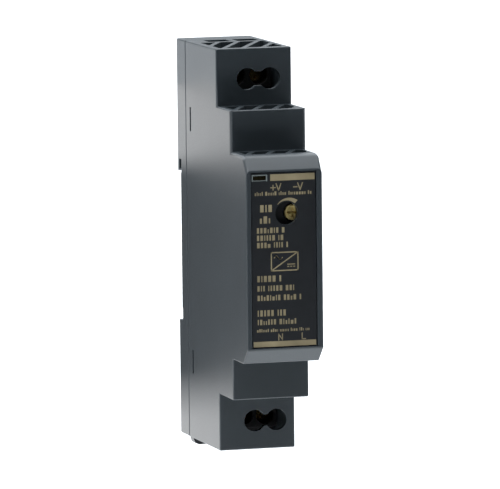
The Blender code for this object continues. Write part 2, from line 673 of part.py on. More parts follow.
def transformer(y, z):
    core_x = PART_X + 5.9 * MM
    outer = rectangle((y - 7 * MM, y + 7 * MM), (z - 8 * MM, z + 8 * MM))
    windows = []
    for side in (1, -1):
        near, far = sorted((y + side * 2.2 * MM, y + side * 5.3 * MM))
        windows.append(rectangle((near, far), (z - 5.6 * MM, z + 5.6 * MM)))
    prism("transformer_core", [outer, *windows], "YZ", (core_x - 2.5 * MM, core_x + 2.5 * MM), FERRITE)
    wound = rectangle((core_x - 5.4 * MM, core_x + 5.4 * MM), (y - 4.9 * MM, y + 4.9 * MM))
    leg = rectangle((core_x - 2.8 * MM, core_x + 2.8 * MM), (y - 2.45 * MM, y + 2.45 * MM))
    prism("transformer_winding", [wound, leg], "XY", (z - 5.2 * MM, z + 5.2 * MM), WINDING)


def choke(y, z):
    bpy.ops.mesh.primitive_torus_add(
        major_radius=3.3 * MM,
        minor_radius=1.5 * MM,
        major_segments=20,
        minor_segments=8,
        location=(PART_X + 1.7 * MM, y, z),
        rotation=(0, math.pi / 2, 0),
    )
    ring = bpy.context.object
    ring.name = "common_mode_choke"
    smooth(ring)
    return place(ring, BRASS)


def on_board(name, y, z, size, look, bevel=0.2 * MM):
    """A component standing on the board: size is (height off the board, along Y, along Z)."""
    centre = (PART_X + size[0] / 2, y, z)
    return centred_box(name, centre, size, look, bevel)


def disc(name, y, z, radius, thickness, look):
    """A coated disc that stands off the board on its leads, its flat side facing the front."""
    half = thickness / 2
    edge = half * 0.6
    profile = [(0, half), (radius - edge, half), (radius, half - edge), (radius, edge - half)]
    profile += [(radius - edge, -half), (0, -half)]
    return turned(name, profile, (PART_X + radius + 0.4 * MM, y, z), "-Y", look, 20)


def components():
    transformer(-17.5 * MM, 4.5 * MM)
    electrolytic("bulk_capacitor_1", -20.0 * MM, -12.6 * MM, 4.0 * MM, 14 * MM)
    electrolytic("bulk_capacitor_2", -20.0 * MM, -21.4 * MM, 4.0 * MM, 14 * MM)
    electrolytic("output_capacitor_1", -20.0 * MM, 18.0 * MM, 3.9 * MM, 13 * MM)
    electrolytic("output_capacitor_2", -20.0 * MM, 26.6 * MM, 3.9 * MM, 13 * MM)
    cylinder("input_fuse", (PART_X + 2.2 * MM, -32.5 * MM, -26.6 * MM), 2.0 * MM, 8 * MM, "Y", GLASS, 16)
    disc("varistor", -24.5 * MM, -30.3 * MM, 3.4 * MM, 2.6 * MM, BLUE)
    disc("inrush_thermistor", -36.5 * MM, -21.6 * MM, 2.8 * MM, 2.4 * MM, CHIP)
    on_board("x_capacitor", -44.0 * MM, -11.5 * MM, (9.0 * MM, 5.0 * MM, 11.0 * MM), YELLOW, 0.5 * MM)
    choke(-33.5 * MM, -13.4 * MM)
    on_board("bridge_rectifier", -44.0 * MM, -1.2 * MM, (3.2 * MM, 7.0 * MM, 7.0 * MM), CHIP)
    on_board("switching_transistor", -34.0 * MM, -3.5 * MM, (8.6 * MM, 3.0 * MM, 6.4 * MM), CHIP)
    on_board("heatsink", -31.6 * MM, -3.5 * MM, (10.8 * MM, 1.2 * MM, 8.4 * MM), FIN)
    disc("y_capacitor", -36.5 * MM, 5.5 * MM, 3.0 * MM, 2.6 * MM, BLUE)
    on_board("optocoupler", -30.5 * MM, 9.5 * MM, (3.5 * MM, 6.4 * MM, 4.6 * MM), CHIP)
    on_board("controller_chip", -39.5 * MM, 13.0 * MM, (1.6 * MM, 4.9 * MM, 3.9 * MM), CHIP)
    on_board("output_diode", -31.5 * MM, 18.5 * MM, (2.6 * MM, 6.5 * MM, 6.0 * MM), CHIP)
    drum = [(0, 3.0), (3.4, 3.0), (3.4, 2.0), (2.7, 1.7), (2.7, -1.7), (3.4, -2.0), (3.4, -3.0), (0, -3.0)]
    profile = [(r * MM, h * MM) for r, h in drum]
    turned("output_inductor", profile, (PART_X + 3.1 * MM, -33.5 * MM, 26.4 * MM), "X", FERRITE, 20)


def trimmer():
    """Adjuster behind the dial hole: a square body, and a rotor with a cross slot that turns in it."""
    front = NOSE_Y + FACE_WALL + 0.2 * MM
    body_y = (front + 0.5 * MM, front + 4.6 * MM)
    body_z = (DIAL_Z - 3.2 * MM, DIAL_Z + 3.2 * MM)
    body = box("trimmer_body", (-2.4 * MM, ROTOR_X + 3.2 * MM), body_y, body_z, BLOCK, 0.2 * MM)
    seat = front + 1.5 * MM
    cut(body, cylinder("rotor_bore", (ROTOR_X, seat, DIAL_Z), ROTOR_RADIUS + 0.1 * MM, 3 * MM, "Y"))
    leg_z = (body_z[0] + MM, body_z[1] - MM)
    join(body, box("trimmer_legs", (PART_X, -2.2 * MM), (front + 2 * MM, front + 3 * MM), leg_z))
    deep = 2.2 * MM
    edge = 0.2 * MM
    profile = [(0, 0), (ROTOR_RADIUS - edge, 0), (ROTOR_RADIUS, -edge), (ROTOR_RADIUS, -deep), (0, -deep)]
    rotor = turned("trimmer_rotor", profile, (ROTOR_X, front, DIAL_Z), "-Y", BRASS)
    cross_recess(rotor, ROTOR_X, DIAL_Z, front, 1.25 * MM, 0.28 * MM)


def status_led():
    x = (PART_X, PART_X + 1.1 * MM)
    y = (NOSE_Y + FACE_WALL + 0.8 * MM, NOSE_Y + FACE_WALL + 2.4 * MM)
    middle = sum(WINDOW_Z) / 2
    return box("status_led", x, y, (middle - 0.5 * MM, middle + 0.5 * MM), LAMP)


front_shell()
rear_shell()
label_plate()
led_window()
rail_foot()
foot_spring()
terminals()
main_board()
components()
trimmer()
status_led()
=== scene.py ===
"""Looks of a one-module DIN rail power supply: materials, printing, fine pieces, light and camera.

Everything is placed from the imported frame: X across the width, Y towards the rail (the back), Z up, metres.
"""

import json
import math
import random

import bmesh
import bpy
from mathutils import Matrix, Vector


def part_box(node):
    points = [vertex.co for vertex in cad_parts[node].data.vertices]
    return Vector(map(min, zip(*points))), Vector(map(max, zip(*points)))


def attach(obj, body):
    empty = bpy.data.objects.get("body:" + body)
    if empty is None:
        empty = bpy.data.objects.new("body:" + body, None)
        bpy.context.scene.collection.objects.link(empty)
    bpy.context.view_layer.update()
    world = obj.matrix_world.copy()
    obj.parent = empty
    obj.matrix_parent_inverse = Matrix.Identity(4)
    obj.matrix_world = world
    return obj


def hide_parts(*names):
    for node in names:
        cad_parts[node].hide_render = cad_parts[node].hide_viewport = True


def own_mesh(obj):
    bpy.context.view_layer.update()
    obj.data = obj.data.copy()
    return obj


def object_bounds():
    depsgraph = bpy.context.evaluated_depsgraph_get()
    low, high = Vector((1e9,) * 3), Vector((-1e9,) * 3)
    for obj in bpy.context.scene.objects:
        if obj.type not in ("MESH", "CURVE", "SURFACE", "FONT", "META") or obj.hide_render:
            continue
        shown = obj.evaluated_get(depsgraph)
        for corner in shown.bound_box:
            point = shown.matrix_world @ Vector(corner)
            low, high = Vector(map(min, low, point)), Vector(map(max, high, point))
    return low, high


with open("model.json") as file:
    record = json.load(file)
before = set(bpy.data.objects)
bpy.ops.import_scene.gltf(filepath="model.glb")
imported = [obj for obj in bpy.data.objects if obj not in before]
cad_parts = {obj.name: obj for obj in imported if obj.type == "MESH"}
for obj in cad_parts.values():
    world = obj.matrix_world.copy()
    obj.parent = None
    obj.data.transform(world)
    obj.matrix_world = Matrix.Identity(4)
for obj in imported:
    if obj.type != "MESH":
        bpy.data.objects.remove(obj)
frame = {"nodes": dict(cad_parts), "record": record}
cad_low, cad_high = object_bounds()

MM = 0.001
NODES = frame["nodes"]
RECORD = frame["record"]
SHARP = math.radians(38)
FACETED = math.radians(20)
BODY_OF = {node: body for body, names in RECORD["behaviour"]["bodies"].items() for node in names}
POLES = [node.replace("terminal_screw_", "") for node in NODES if node.startswith("terminal_screw_")]

# ---------------------------------------------------------------- camera and light settings
CAMERA_AZIMUTH = math.radians(16.47)
CAMERA_ELEVATION = math.radians(6.51)
CAMERA_ROLL = math.radians(-0.60)
CAMERA_DISTANCE = 1.530
CAMERA_LENS_MM = 492.7
AIM_DEPTH = -23.55 * MM
AIM_SHIFT = (0.405 * MM, 1.194 * MM)
FLOOR_DROP = 0.15
TOP_LIGHT = 6.5
SKY_GLOW = 0.065
BACK_GLOW = 0.09
FRONT_GLOW = 0.0025
BACKDROP_GLOW = 1.15
FLOOR_FRONT = -0.5
CARD_HEAD_GLOW = 2.2
CARD_GLOW = 0.17
CARD_FOOT_GLOW = 2.5
CARD_DARK = (-30.5 * MM, 14.5 * MM)
CARD_FADE = (11 * MM, 5 * MM)


def make_camera():
    a, e = CAMERA_AZIMUTH, CAMERA_ELEVATION
    forward = Vector((math.sin(a) * math.cos(e), math.cos(a) * math.cos(e), -math.sin(e)))
    level = Vector((math.cos(a), -math.sin(a), 0))
    upright = level.cross(forward)
    right = math.cos(CAMERA_ROLL) * level + math.sin(CAMERA_ROLL) * upright
    up = right.cross(forward)
    aim = Vector((0, AIM_DEPTH, 0)) + AIM_SHIFT[0] * right + AIM_SHIFT[1] * up
    camera = bpy.data.objects.new("camera", bpy.data.cameras.new("camera"))
    camera.data.lens = CAMERA_LENS_MM
    camera.data.sensor_width = 36
    camera.data.clip_start = 0.05
    camera.data.clip_end = 60
    turn = Matrix((right, up, -forward)).transposed().to_4x4()
    camera.matrix_world = Matrix.Translation(aim - CAMERA_DISTANCE * forward) @ turn
    bpy.context.scene.collection.objects.link(camera)
    bpy.context.scene.camera = camera


# ---------------------------------------------------------------- material tools
def add(tree, kind, settings=None, **inputs):
    """A node with its settings, and its sockets set to values or joined to other nodes' outputs."""
    made = tree.nodes.new(kind)
    for key, value in (settings or {}).items():
        setattr(made, key, value)
    for key, value in inputs.items():
        socket = made.inputs[key.replace("_", " ")]
        if isinstance(value, bpy.types.NodeSocket):
            tree.links.new(value, socket)
        else:
            socket.default_value = value
    return made


def noise(tree, scale, detail=3.0, stretch=(1, 1, 1)):
    place = add(tree, "ShaderNodeTexCoord").outputs["Object"]
    mapping = add(tree, "ShaderNodeMapping", Vector=place)
    mapping.inputs["Scale"].default_value = stretch
    return add(tree, "ShaderNodeTexNoise", Vector=mapping.outputs[0], Scale=scale, Detail=detail).outputs[0]


def bands(tree, scale, direction="X", distortion=0.0):
    """Straight waves across one of the object's axes, for wound tape and drawn or laminated stock."""
    place = add(tree, "ShaderNodeTexCoord").outputs["Object"]
    kind = {"wave_type": "BANDS", "bands_direction": direction}
    return add(tree, "ShaderNodeTexWave", kind, Vector=place, Scale=scale, Distortion=distortion).outputs[1]


def ramp(tree, value, low, high, to_low=0.0, to_high=1.0):
    made = add(tree, "ShaderNodeMapRange", {"clamp": True}, Value=value)
    for socket, number in zip(("From Min", "From Max", "To Min", "To Max"), (low, high, to_low, to_high)):
        made.inputs[socket].default_value = number
    return made.outputs["Result"]


def blend(tree, share, one, two, mode="MIX"):
    """A colour mixed from two, each a colour or another node's output."""
    made = add(tree, "ShaderNodeMix", {"data_type": "RGBA", "blend_type": mode})
    for index, value in ((0, share), (6, one), (7, two)):
        if isinstance(value, bpy.types.NodeSocket):
            tree.links.new(value, made.inputs[index])
        else:
            made.inputs[index].default_value = value if index == 0 else (*value, 1.0)
    return made.outputs[2]


def tinted(colour, factor):
    return tuple(min(1.0, c * factor) for c in colour)


def surface(
    name, colour, roughness, metallic=0.0, grain=(4000, 8), tone=0.1, stretch=(1, 1, 1), wear=None, wave=None, **sockets
):
    """Principled material with slow changes of tone, fine grain (scale per metre, height in um) and a painted highlight
    on its edges.

    The edge highlight is (colour, width) of a lighter colour painted along the rounded edges as a highlight; wave is
    (scale, direction, height in um) of a regular ribbing.
    """
    made = bpy.data.materials.new(name)
    made.use_nodes = True
    tree = made.node_tree
    shader = tree.nodes["Principled BSDF"]
    shader.inputs["Metallic"].default_value = metallic
    for key, value in sockets.items():
        shader.inputs[key.replace("_", " ")].default_value = value
    slow = ramp(tree, noise(tree, grain[0] / 40, 4.0), 0.3, 0.7)
    fine = noise(tree, grain[0], 3.0, stretch)
    colour_out = blend(tree, slow, tinted(colour, 1 - tone), tinted(colour, 1 + tone))
    rough_out = ramp(tree, fine, 0.25, 0.75, roughness * 0.85, min(1.0, roughness * 1.15))
    # painted highlight: edges, found where the bevel's normal bends away, get a lighter colour as if light caught them
    if wear:
        rounded = add(tree, "ShaderNodeBevel", {"samples": 4}, Radius=wear[1])
        normal = add(tree, "ShaderNodeNewGeometry").outputs["Normal"]
        along = add(tree, "ShaderNodeVectorMath", {"operation": "DOT_PRODUCT"})
        tree.links.new(rounded.outputs[0], along.inputs[0])
        tree.links.new(normal, along.inputs[1])
        edge = ramp(tree, along.outputs["Value"], 0.995, 0.93)
        highlight_share = add(tree, "ShaderNodeMath", {"operation": "MULTIPLY"})
        tree.links.new(edge, highlight_share.inputs[0])
        tree.links.new(ramp(tree, slow, 0.0, 1.0, 0.5, 1.0), highlight_share.inputs[1])
        colour_out = blend(tree, highlight_share.outputs[0], colour_out, wear[0])
    tree.links.new(colour_out, shader.inputs["Base Color"])
    tree.links.new(rough_out, shader.inputs["Roughness"])
    bump = add(tree, "ShaderNodeBump", Height=fine, Distance=grain[1] * 1e-6, Strength=1.0)
    if wave:
        ribs = add(tree, "ShaderNodeBump", Height=bands(tree, wave[0], wave[1]), Distance=wave[2] * 1e-6)
        tree.links.new(bump.outputs[0], ribs.inputs["Normal"])
        bump = ribs
    tree.links.new(bump.outputs[0], shader.inputs["Normal"])
    return made


SHELL_COLOUR = (0.027, 0.035, 0.041)
# lighter edge colours of the shell and the foot, painted on as highlights
SHELL_EDGE_HIGHLIGHT = ((0.07, 0.085, 0.095), 0.25 * MM)
FOOT_EDGE_HIGHLIGHT = ((0.06, 0.06, 0.065), 0.3 * MM)
looks = {
    "shell": surface("shell_plastic", SHELL_COLOUR, 0.41, grain=(3900, 9), tone=0.07, wear=SHELL_EDGE_HIGHLIGHT, Specular_IOR_Level=0.62),
    "foot": surface("foot_plastic", (0.016, 0.017, 0.02), 0.36, grain=(5200, 3), wear=FOOT_EDGE_HIGHLIGHT),
    "label": surface("label_film", (0.014, 0.0155, 0.018), 0.34, grain=(9000, 1.5)),
    "ink": surface("label_ink", (0.275, 0.228, 0.135), 0.45, grain=(9000, 1.5), tone=0.2),
    # painted highlight: light frame colour round the lamp's window
    "trim": surface("window_frame_paint", (0.22, 0.255, 0.25), 0.4, grain=(9000, 1.5)),
    "lens": surface("window_lens", (0.012, 0.010, 0.004), 0.12, grain=(3000, 1), Transmission_Weight=0.25),
    "brass": surface("brass", (0.66, 0.45, 0.17), 0.30, 0.8, grain=(3500, 3), tone=0.2),
    "gold": surface("rotor_brass", (0.62, 0.49, 0.20), 0.36, 0.55, grain=(3500, 4), tone=0.25),
    "steel": surface("spring_steel", (0.5, 0.5, 0.52), 0.3, 1.0, grain=(6000, 3), stretch=(1, 1, 0.2)),
    "tin": surface("tinned_copper", (0.6, 0.59, 0.56), 0.35, 1.0, grain=(2500, 5), tone=0.15),
    # near-black: the housing plastic's own dark colour, darkened further as painted shade so the deep screw holes read
    # black
    "block": surface("terminal_plastic", (0.005, 0.005, 0.0055), 0.5, grain=(5200, 5), Specular_IOR_Level=0.3),
    "board": surface("solder_mask", (0.012, 0.10, 0.035), 0.3, grain=(2600, 5), tone=0.2),
    "trace": surface("masked_track", (0.02, 0.17, 0.06), 0.28, grain=(2600, 4), tone=0.2),
    "solder": surface("solder", (0.62, 0.62, 0.62), 0.25, 1.0, grain=(1800, 12), tone=0.15),
    "film": surface("insulation_film", (0.55, 0.53, 0.45), 0.35, grain=(1500, 10), tone=0.08),
    "ferrite": surface("ferrite", (0.028, 0.027, 0.028), 0.62, grain=(6500, 14), tone=0.25),
    "tape": surface("polyester_tape", (0.78, 0.58, 0.07), 0.32, grain=(1500, 5), wave=(180, "Z", 18)),
    "phenolic": surface("bobbin_phenolic", (0.022, 0.014, 0.010), 0.42, grain=(3800, 6), tone=0.2),
    "copper": surface("enamelled_copper", (0.72, 0.26, 0.09), 0.24, 1.0, grain=(3500, 2), tone=0.15),
    "sleeve": surface("capacitor_sleeve", (0.012, 0.014, 0.045), 0.26, grain=(2200, 4), tone=0.12),
    "stripe": surface("sleeve_stripe", (0.50, 0.50, 0.46), 0.28, grain=(2200, 4)),
    "can": surface("can_aluminium", (0.78, 0.78, 0.79), 0.30, 1.0, grain=(2600, 5), tone=0.08),
    "rubber": surface("bung_rubber", (0.02, 0.02, 0.02), 0.7, grain=(3000, 8)),
    "dipped": surface("dipped_blue", (0.02, 0.09, 0.36), 0.3, grain=(1700, 16), tone=0.15),
    "dark_dipped": surface("dipped_black", (0.018, 0.02, 0.018), 0.4, grain=(1700, 16), tone=0.2),
    "film_cap": surface("moulded_yellow", (0.66, 0.42, 0.04), 0.36, grain=(3200, 5), tone=0.08),
    "resin": surface("potting_resin", (0.60, 0.38, 0.05), 0.16, grain=(700, 30), tone=0.12),
    "chip": surface("chip_resin", (0.014, 0.014, 0.015), 0.45, grain=(6500, 5), tone=0.2),
    "fin": surface("heatsink_aluminium", (0.68, 0.69, 0.70), 0.34, 1.0, grain=(900, 8), stretch=(1, 1, 14)),
    "ceramic": surface("fuse_ceramic", (0.76, 0.73, 0.64), 0.3, grain=(2500, 5), tone=0.06),
    "nickel": surface("nickel_plate", (0.66, 0.64, 0.60), 0.22, 1.0, grain=(3000, 3), tone=0.1),
    "lamp": surface("led_resin", (0.16, 0.62, 0.16), 0.12, grain=(2500, 2), Transmission_Weight=0.35),
    "mark": surface("silkscreen", (0.72, 0.73, 0.70), 0.5, grain=(6000, 2)),
}


# ---------------------------------------------------------------- mesh tools
def finish_mesh(name, shape, mats, body, sharp=SHARP, outward=True):
    """Turns a bmesh into a smooth-shaded piece that rides on a body; mats names its looks in order."""
    if outward:
        bmesh.ops.recalc_face_normals(shape, faces=shape.faces)
    mesh = bpy.data.meshes.new(name)
    shape.to_mesh(mesh)
    shape.free()
    for mat in mats:
        mesh.materials.append(looks[mat])
    mesh.shade_smooth()
    mesh.set_sharp_from_angle(angle=sharp)
    obj = bpy.data.objects.new(name, mesh)
    bpy.context.scene.collection.objects.link(obj)
    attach(obj, body)
    return obj


def soften(piece, width, segments=2):
    rounding = piece.modifiers.new("rounding", "BEVEL")
    rounding.width = width
    rounding.segments = segments
    rounding.limit_method = "ANGLE"
    rounding.angle_limit = SHARP
    rounding.use_clamp_overlap = True
    rounding.miter_outer = "MITER_ARC"
    even_shading(piece)


def even_shading(piece):
    even = piece.modifiers.new("even_shading", "WEIGHTED_NORMAL")
    even.mode = "FACE_AREA"
    even.keep_sharp = True


def refined(node, look, width=0.12 * MM, segments=2, sharp=SHARP):
    """A copy of a CAD node with its small edges rounded by a width, or left as they are, shown in its place."""
    shape = bmesh.new()
    shape.from_mesh(NODES[node].data)
    bmesh.ops.remove_doubles(shape, verts=shape.verts, dist=2e-6)
    bmesh.ops.dissolve_limit(shape, angle_limit=math.radians(0.5), verts=shape.verts, edges=shape.edges)
    for face in shape.faces:
        face.material_index = 0
    piece = finish_mesh(node + "_finished", shape, [look], BODY_OF[node], sharp)
    if width:
        soften(piece, width, segments)
    else:
        even_shading(piece)
    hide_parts(node)
    return piece


def add_box(shape, low, high, index=0, bevel=0.0):
    low, high = Vector(low), Vector(high)
    matrix = Matrix.Translation((low + high) / 2) @ Matrix.Diagonal((*(high - low), 1.0))
    verts = bmesh.ops.create_cube(shape, size=1.0, matrix=matrix)["verts"]
    faces = {face for vert in verts for face in vert.link_faces}
    if bevel:
        edges = list({edge for vert in verts for edge in vert.link_edges})
        made = bmesh.ops.bevel(shape, geom=edges, offset=bevel, segments=2, affect="EDGES", profile=0.5)
        faces |= set(made["faces"])
    for face in faces:
        if face.is_valid:
            face.material_index = index


def frames_along(points):
    """A plane across the path at each point, turned as little as possible from one to the next."""
    tangents = []
    for i in range(len(points)):
        ahead = points[min(i + 1, len(points) - 1)] - points[max(i - 1, 0)]
        tangents.append(ahead.normalized())
    side = tangents[0].orthogonal().normalized()
    made = []
    for tangent in tangents:
        side = (side - side.dot(tangent) * tangent).normalized()
        made.append((side, tangent.cross(side)))
    return made


def add_tube(shape, points, radius, sides=8, index=0):
    """A round wire along points; radius may be one number or one for each point."""
    points = [Vector(point) for point in points]
    radii = radius if isinstance(radius, (list, tuple)) else [radius] * len(points)
    rings = []
    for point, (u, v), r in zip(points, frames_along(points), radii):
        turns = [2 * math.pi * k / sides for k in range(sides)]
        rings.append([shape.verts.new(point + r * (math.cos(t) * u + math.sin(t) * v)) for t in turns])
    for one, two in zip(rings, rings[1:]):
        for k in range(sides):
            j = (k + 1) % sides
            shape.faces.new((one[k], one[j], two[j], two[k])).material_index = index
    for ring in (rings[0], rings[-1]):
        shape.faces.new(ring).material_index = index


def add_lathe(shape, profile, place, steps=40, index=0, indices=None):
    """A closed profile of (radius, height) turned about the height axis, then placed by a matrix."""
    rings = []
    for radius, height in profile:
        if radius < 1e-9:
            rings.append([shape.verts.new(place @ Vector((0, 0, height)))])
            continue
        turns = [2 * math.pi * k / steps for k in range(steps)]
        rings.append([shape.verts.new(place @ Vector((radius * math.cos(t), radius * math.sin(t), height))) for t in turns])
    for n, (one, two) in enumerate(zip(rings, rings[1:])):
        for k in range(steps):
            j = (k + 1) % steps
            corners = [one[k % len(one)], one[j % len(one)], two[j % len(two)], two[k % len(two)]]
            corners = [c for i, c in enumerate(corners) if c not in corners[:i]]
            if len(corners) > 2:
                shape.faces.new(corners).material_index = indices[n] if indices else index


def add_plate(shape, outline, back, front, index=0):
    """A flat outline of (x, z), given its thickness along Y."""
    far = [shape.verts.new((x, back, z)) for x, z in outline]
    near = [shape.verts.new((x, front, z)) for x, z in outline]
    shape.faces.new(far).material_index = index
    shape.faces.new(near[::-1]).material_index = index
    for k in range(len(outline)):
        j = (k + 1) % len(outline)
        shape.faces.new((far[k], far[j], near[j], near[k])).material_index = index


def facing(point, axis):
    """A matrix that stands a lathe's height axis along an axis of the frame, at a point."""
    turns = {"Z": Matrix.Identity(3), "-Y": Matrix(((1, 0, 0), (0, 0, -1), (0, 1, 0))), "X": Matrix(((0, 0, 1), (0, 1, 0), (-1, 0, 0)))}
    return Matrix.Translation(point) @ turns[axis].to_4x4()


def spans(node):
    low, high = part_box(node)
    return low, high, (low + high) / 2


# ---------------------------------------------------------------- casing
def casing():
    # the CAD already rounds the front shell's outer edges, and the foot's slots leave no room for rounding
    refined("front_shell", "shell", 0, sharp=FACETED)
    refined("rear_shell", "shell", 0.1 * MM)
    refined("rail_foot", "foot", 0, sharp=FACETED)
    refined("label_plate", "label", 0.05 * MM)
    refined("led_window", "lens", 0.05 * MM)
    refined("output_terminal_housing", "block", 0.1 * MM)
    refined("input_terminal_housing", "block", 0.1 * MM)


# Printing on the label: places and sizes are (x, z) in the frame.
PRINT_RAISE = 0.014 * MM
DIAL_CENTRE = (0.57 * MM, 11.1 * MM)
BARS = (((-3.14, 18.35), (7.05, 19.8)), ((-7.3, -18.3), (7.05, -17.1)))
# each row: left end, baseline, letter height, width of the row, share of tall letters
ROWS = (
    (-6.7, 15.15, 0.85, 13.0, 0.3),
    (-5.5, 11.5, 1.6, 2.4, 0.6),
    (-5.6, 9.0, 1.6, 3.1, 0.5),
    (-6.3, 6.85, 1.2, 6.3, 0.9),
    (-6.3, 5.2, 1.2, 6.0, 0.9),
    (-6.3, 3.6, 1.2, 7.4, 0.9),
    (-6.3, -3.9, 1.35, 5.2, 1.0),
    (-6.3, -5.95, 1.2, 8.8, 0.9),
    (-6.3, -8.05, 1.2, 10.3, 0.8),
    (-6.3, -11.5, 1.35, 6.5, 1.0),
    (-6.3, -13.4, 1.2, 9.0, 0.8),
    (-6.5, -15.0, 0.72, 12.2, 0.3),
)
STROKES = {
    "+": [((-0.5, 0), (0.5, 0)), ((0, -0.5), (0, 0.5))],
    "-": [((-0.45, 0), (0.45, 0))],
    "V": [((-0.55, 0.75), (0, -0.75)), ((0.55, 0.75), (0, -0.75))],
    "N": [((-0.5, -0.75), (-0.5, 0.75)), ((-0.5, 0.75), (0.5, -0.75)), ((0.5, -0.75), (0.5, 0.75))],
    "L": [((-0.42, 0.75), (-0.42, -0.75)), ((-0.42, -0.75), (0.5, -0.75))],
}


def add_stroke(shape, a, b, width, back, front):
    a, b = Vector(a), Vector(b)
    along = (b - a).normalized() * width / 2
    across = Vector((-along.y, along.x))
    corners = [a - along - across, b + along - across, b + along + across, a - along + across]
    add_plate(shape, [tuple(c) for c in corners], back, front)


def label_printing():
    """Tan printing: bars, generic terminal marks, a converter symbol, and rows of plain blocks for the small print."""
    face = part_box("label_plate")[0].y
    back, front = face + PRINT_RAISE / 2, face - PRINT_RAISE
    shape = bmesh.new()
    rng = random.Random(7)

    def rect(x, z):
        add_plate(shape, [(x[0], z[0]), (x[1], z[0]), (x[1], z[1]), (x[0], z[1])], back, front)

    for (x0, z0), (x1, z1) in BARS:
        rect((x0 * MM, x1 * MM), (z0 * MM, z1 * MM))
    for left, base, height, width, tall in ROWS:
        x, stop, word = left, left + width, 0
        while x < stop - 0.3 * height:
            if word == 0:
                word = rng.randint(3, 8)
                x += 0.0 if x == left else 0.42 * height
            letter = height * rng.choice((0.2, 0.3, 0.42, 0.5))
            rise = height if rng.random() < tall else 0.72 * height
            rect((x * MM, (x + letter) * MM), (base * MM, (base + rise) * MM))
            x += letter + 0.24 * height
            word -= 1
    marks = (
        ("+", -2.5, 16.85, 1.0), ("V", -1.25, 16.95, 0.98), ("-", 2.6, 16.85, 0.85), ("V", 3.7, 16.95, 0.98),
        ("N", -1.1, -16.2, 0.85), ("L", 4.2, -16.2, 0.85),
    )
    for mark, x, z, size in marks:
        for a, b in STROKES[mark]:
            ends = [((x + p[0] * size) * MM, (z + p[1] * size) * MM) for p in (a, b)]
            add_stroke(shape, *ends, 0.24 * MM, back, front)

    # wedge that grows round the dial, to show which way raises the output
    inner, steps = 2.82 * MM, 18
    turns = [math.radians(136 - 88 * k / steps) for k in range(steps + 1)]
    outer = [inner + (0.1 + 0.85 * k / steps) * MM for k in range(steps + 1)]
    cx, cz = DIAL_CENTRE
    ring = [(cx + inner * math.cos(t), cz + inner * math.sin(t)) for t in turns]
    rim = [(cx + r * math.cos(t), cz + r * math.sin(t)) for r, t in zip(outer, turns)]
    add_plate(shape, ring + rim[::-1], back, front)

    # converter symbol: a box split corner to corner, a sine wave in one half and a direct-current sign in the other
    x0, x1, z0, z1, line = -3.05 * MM, 3.05 * MM, -1.5 * MM, 2.5 * MM, 0.26 * MM
    for a, b in (((x0, z0), (x1, z0)), ((x1, z0), (x1, z1)), ((x1, z1), (x0, z1)), ((x0, z1), (x0, z0)), ((x0, z0), (x1, z1))):
        add_stroke(shape, a, b, line, back, front)
    wave = [(-2.35 * MM + 1.8 * MM * k / 12, 1.35 * MM + 0.42 * MM * math.sin(2 * math.pi * k / 12)) for k in range(13)]
    for a, b in zip(wave, wave[1:]):
        add_stroke(shape, a, b, 0.2 * MM, back, front)
    rect((0.6 * MM, 2.4 * MM), (-0.28 * MM, -0.06 * MM))
    for k in range(3):
        rect(((0.6 + 0.68 * k) * MM, (1.04 + 0.68 * k) * MM), (-0.78 * MM, -0.56 * MM))
    piece = finish_mesh("label_printing", shape, ["ink"], BODY_OF["label_plate"])
    return piece


def window_trim():
    """A fine raised frame round the lamp's window, in a light colour that paints the highlight on the window's recess
    edge.
    """
    low, high, middle = spans("led_window")
    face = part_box("label_plate")[0].y
    x0, x1 = low.x - 0.06 * MM, -4.15 * MM + 0.06 * MM
    z0, z1 = low.z - 0.06 * MM, high.z + 0.06 * MM
    shape = bmesh.new()
    depth = (face + 0.05 * MM, face - 0.03 * MM)
    sides = (
        ((x0 - 0.24 * MM, x0), (z0 - 0.2 * MM, z1 + 0.22 * MM), 0),
        ((x1, x1 + 0.27 * MM), (z0 - 0.2 * MM, z1 + 0.22 * MM), 0),
        ((x0, x1), (z1, z1 + 0.22 * MM), 0),
        ((x0, x1), (z0 - 0.12 * MM, z0), 0),
    )
    for x, z, index in sides:
        add_box(shape, (x[0], depth[1], z[0]), (x[1], depth[0], z[1]), index)
    piece = finish_mesh("window_trim", shape, ["trim"], "casing")
    soften(piece, 0.03 * MM)


def trimmer():
    refined("trimmer_body", "block", 0.1 * MM)
    refined("trimmer_rotor", "gold", 0.08 * MM)
    low, high, middle = spans("trimmer_rotor")
    shape = bmesh.new()
    face, radius = low.y, (high.x - low.x) / 2
    # a raised lip round the rotor's face, broken by a pointer notch
    steps = 30
    turns = [math.radians(112 + 316 * k / steps) for k in range(steps + 1)]
    points = [(middle.x + (radius - 0.16 * MM) * math.cos(t), face + 0.04 * MM, middle.z + (radius - 0.16 * MM) * math.sin(t)) for t in turns]
    add_tube(shape, points, 0.09 * MM, 6)
    finish_mesh("rotor_lip", shape, ["gold"], BODY_OF["trimmer_rotor"])


# ---------------------------------------------------------------- foot spring and terminals
def foot_spring():
    low, high, middle = spans("foot_spring")
    wire = 0.19 * MM
    radius = (high.x - low.x) / 2 - wire
    bottom, top = low.z + wire, high.z - wire
    turns, steps = 11, 20
    points = []
    for i in range(turns * steps + 1):
        t = i / steps
        # the last turn at each end lies flat
        share = min(max((t - 1) / (turns - 2), 0), 1)
        rise = 0.04 * min(t, 1) + 0.92 * share + 0.04 * max(t - turns + 1, 0)
        angle = 2 * math.pi * t
        points.append((middle.x + radius * math.cos(angle), middle.y + radius * math.sin(angle), bottom + (top - bottom) * rise))
    shape = bmesh.new()
    add_tube(shape, points, wire, 8)
    piece = finish_mesh("foot_coil", shape, ["steel"], BODY_OF["foot_spring"])
    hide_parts("foot_spring")
    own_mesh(piece)


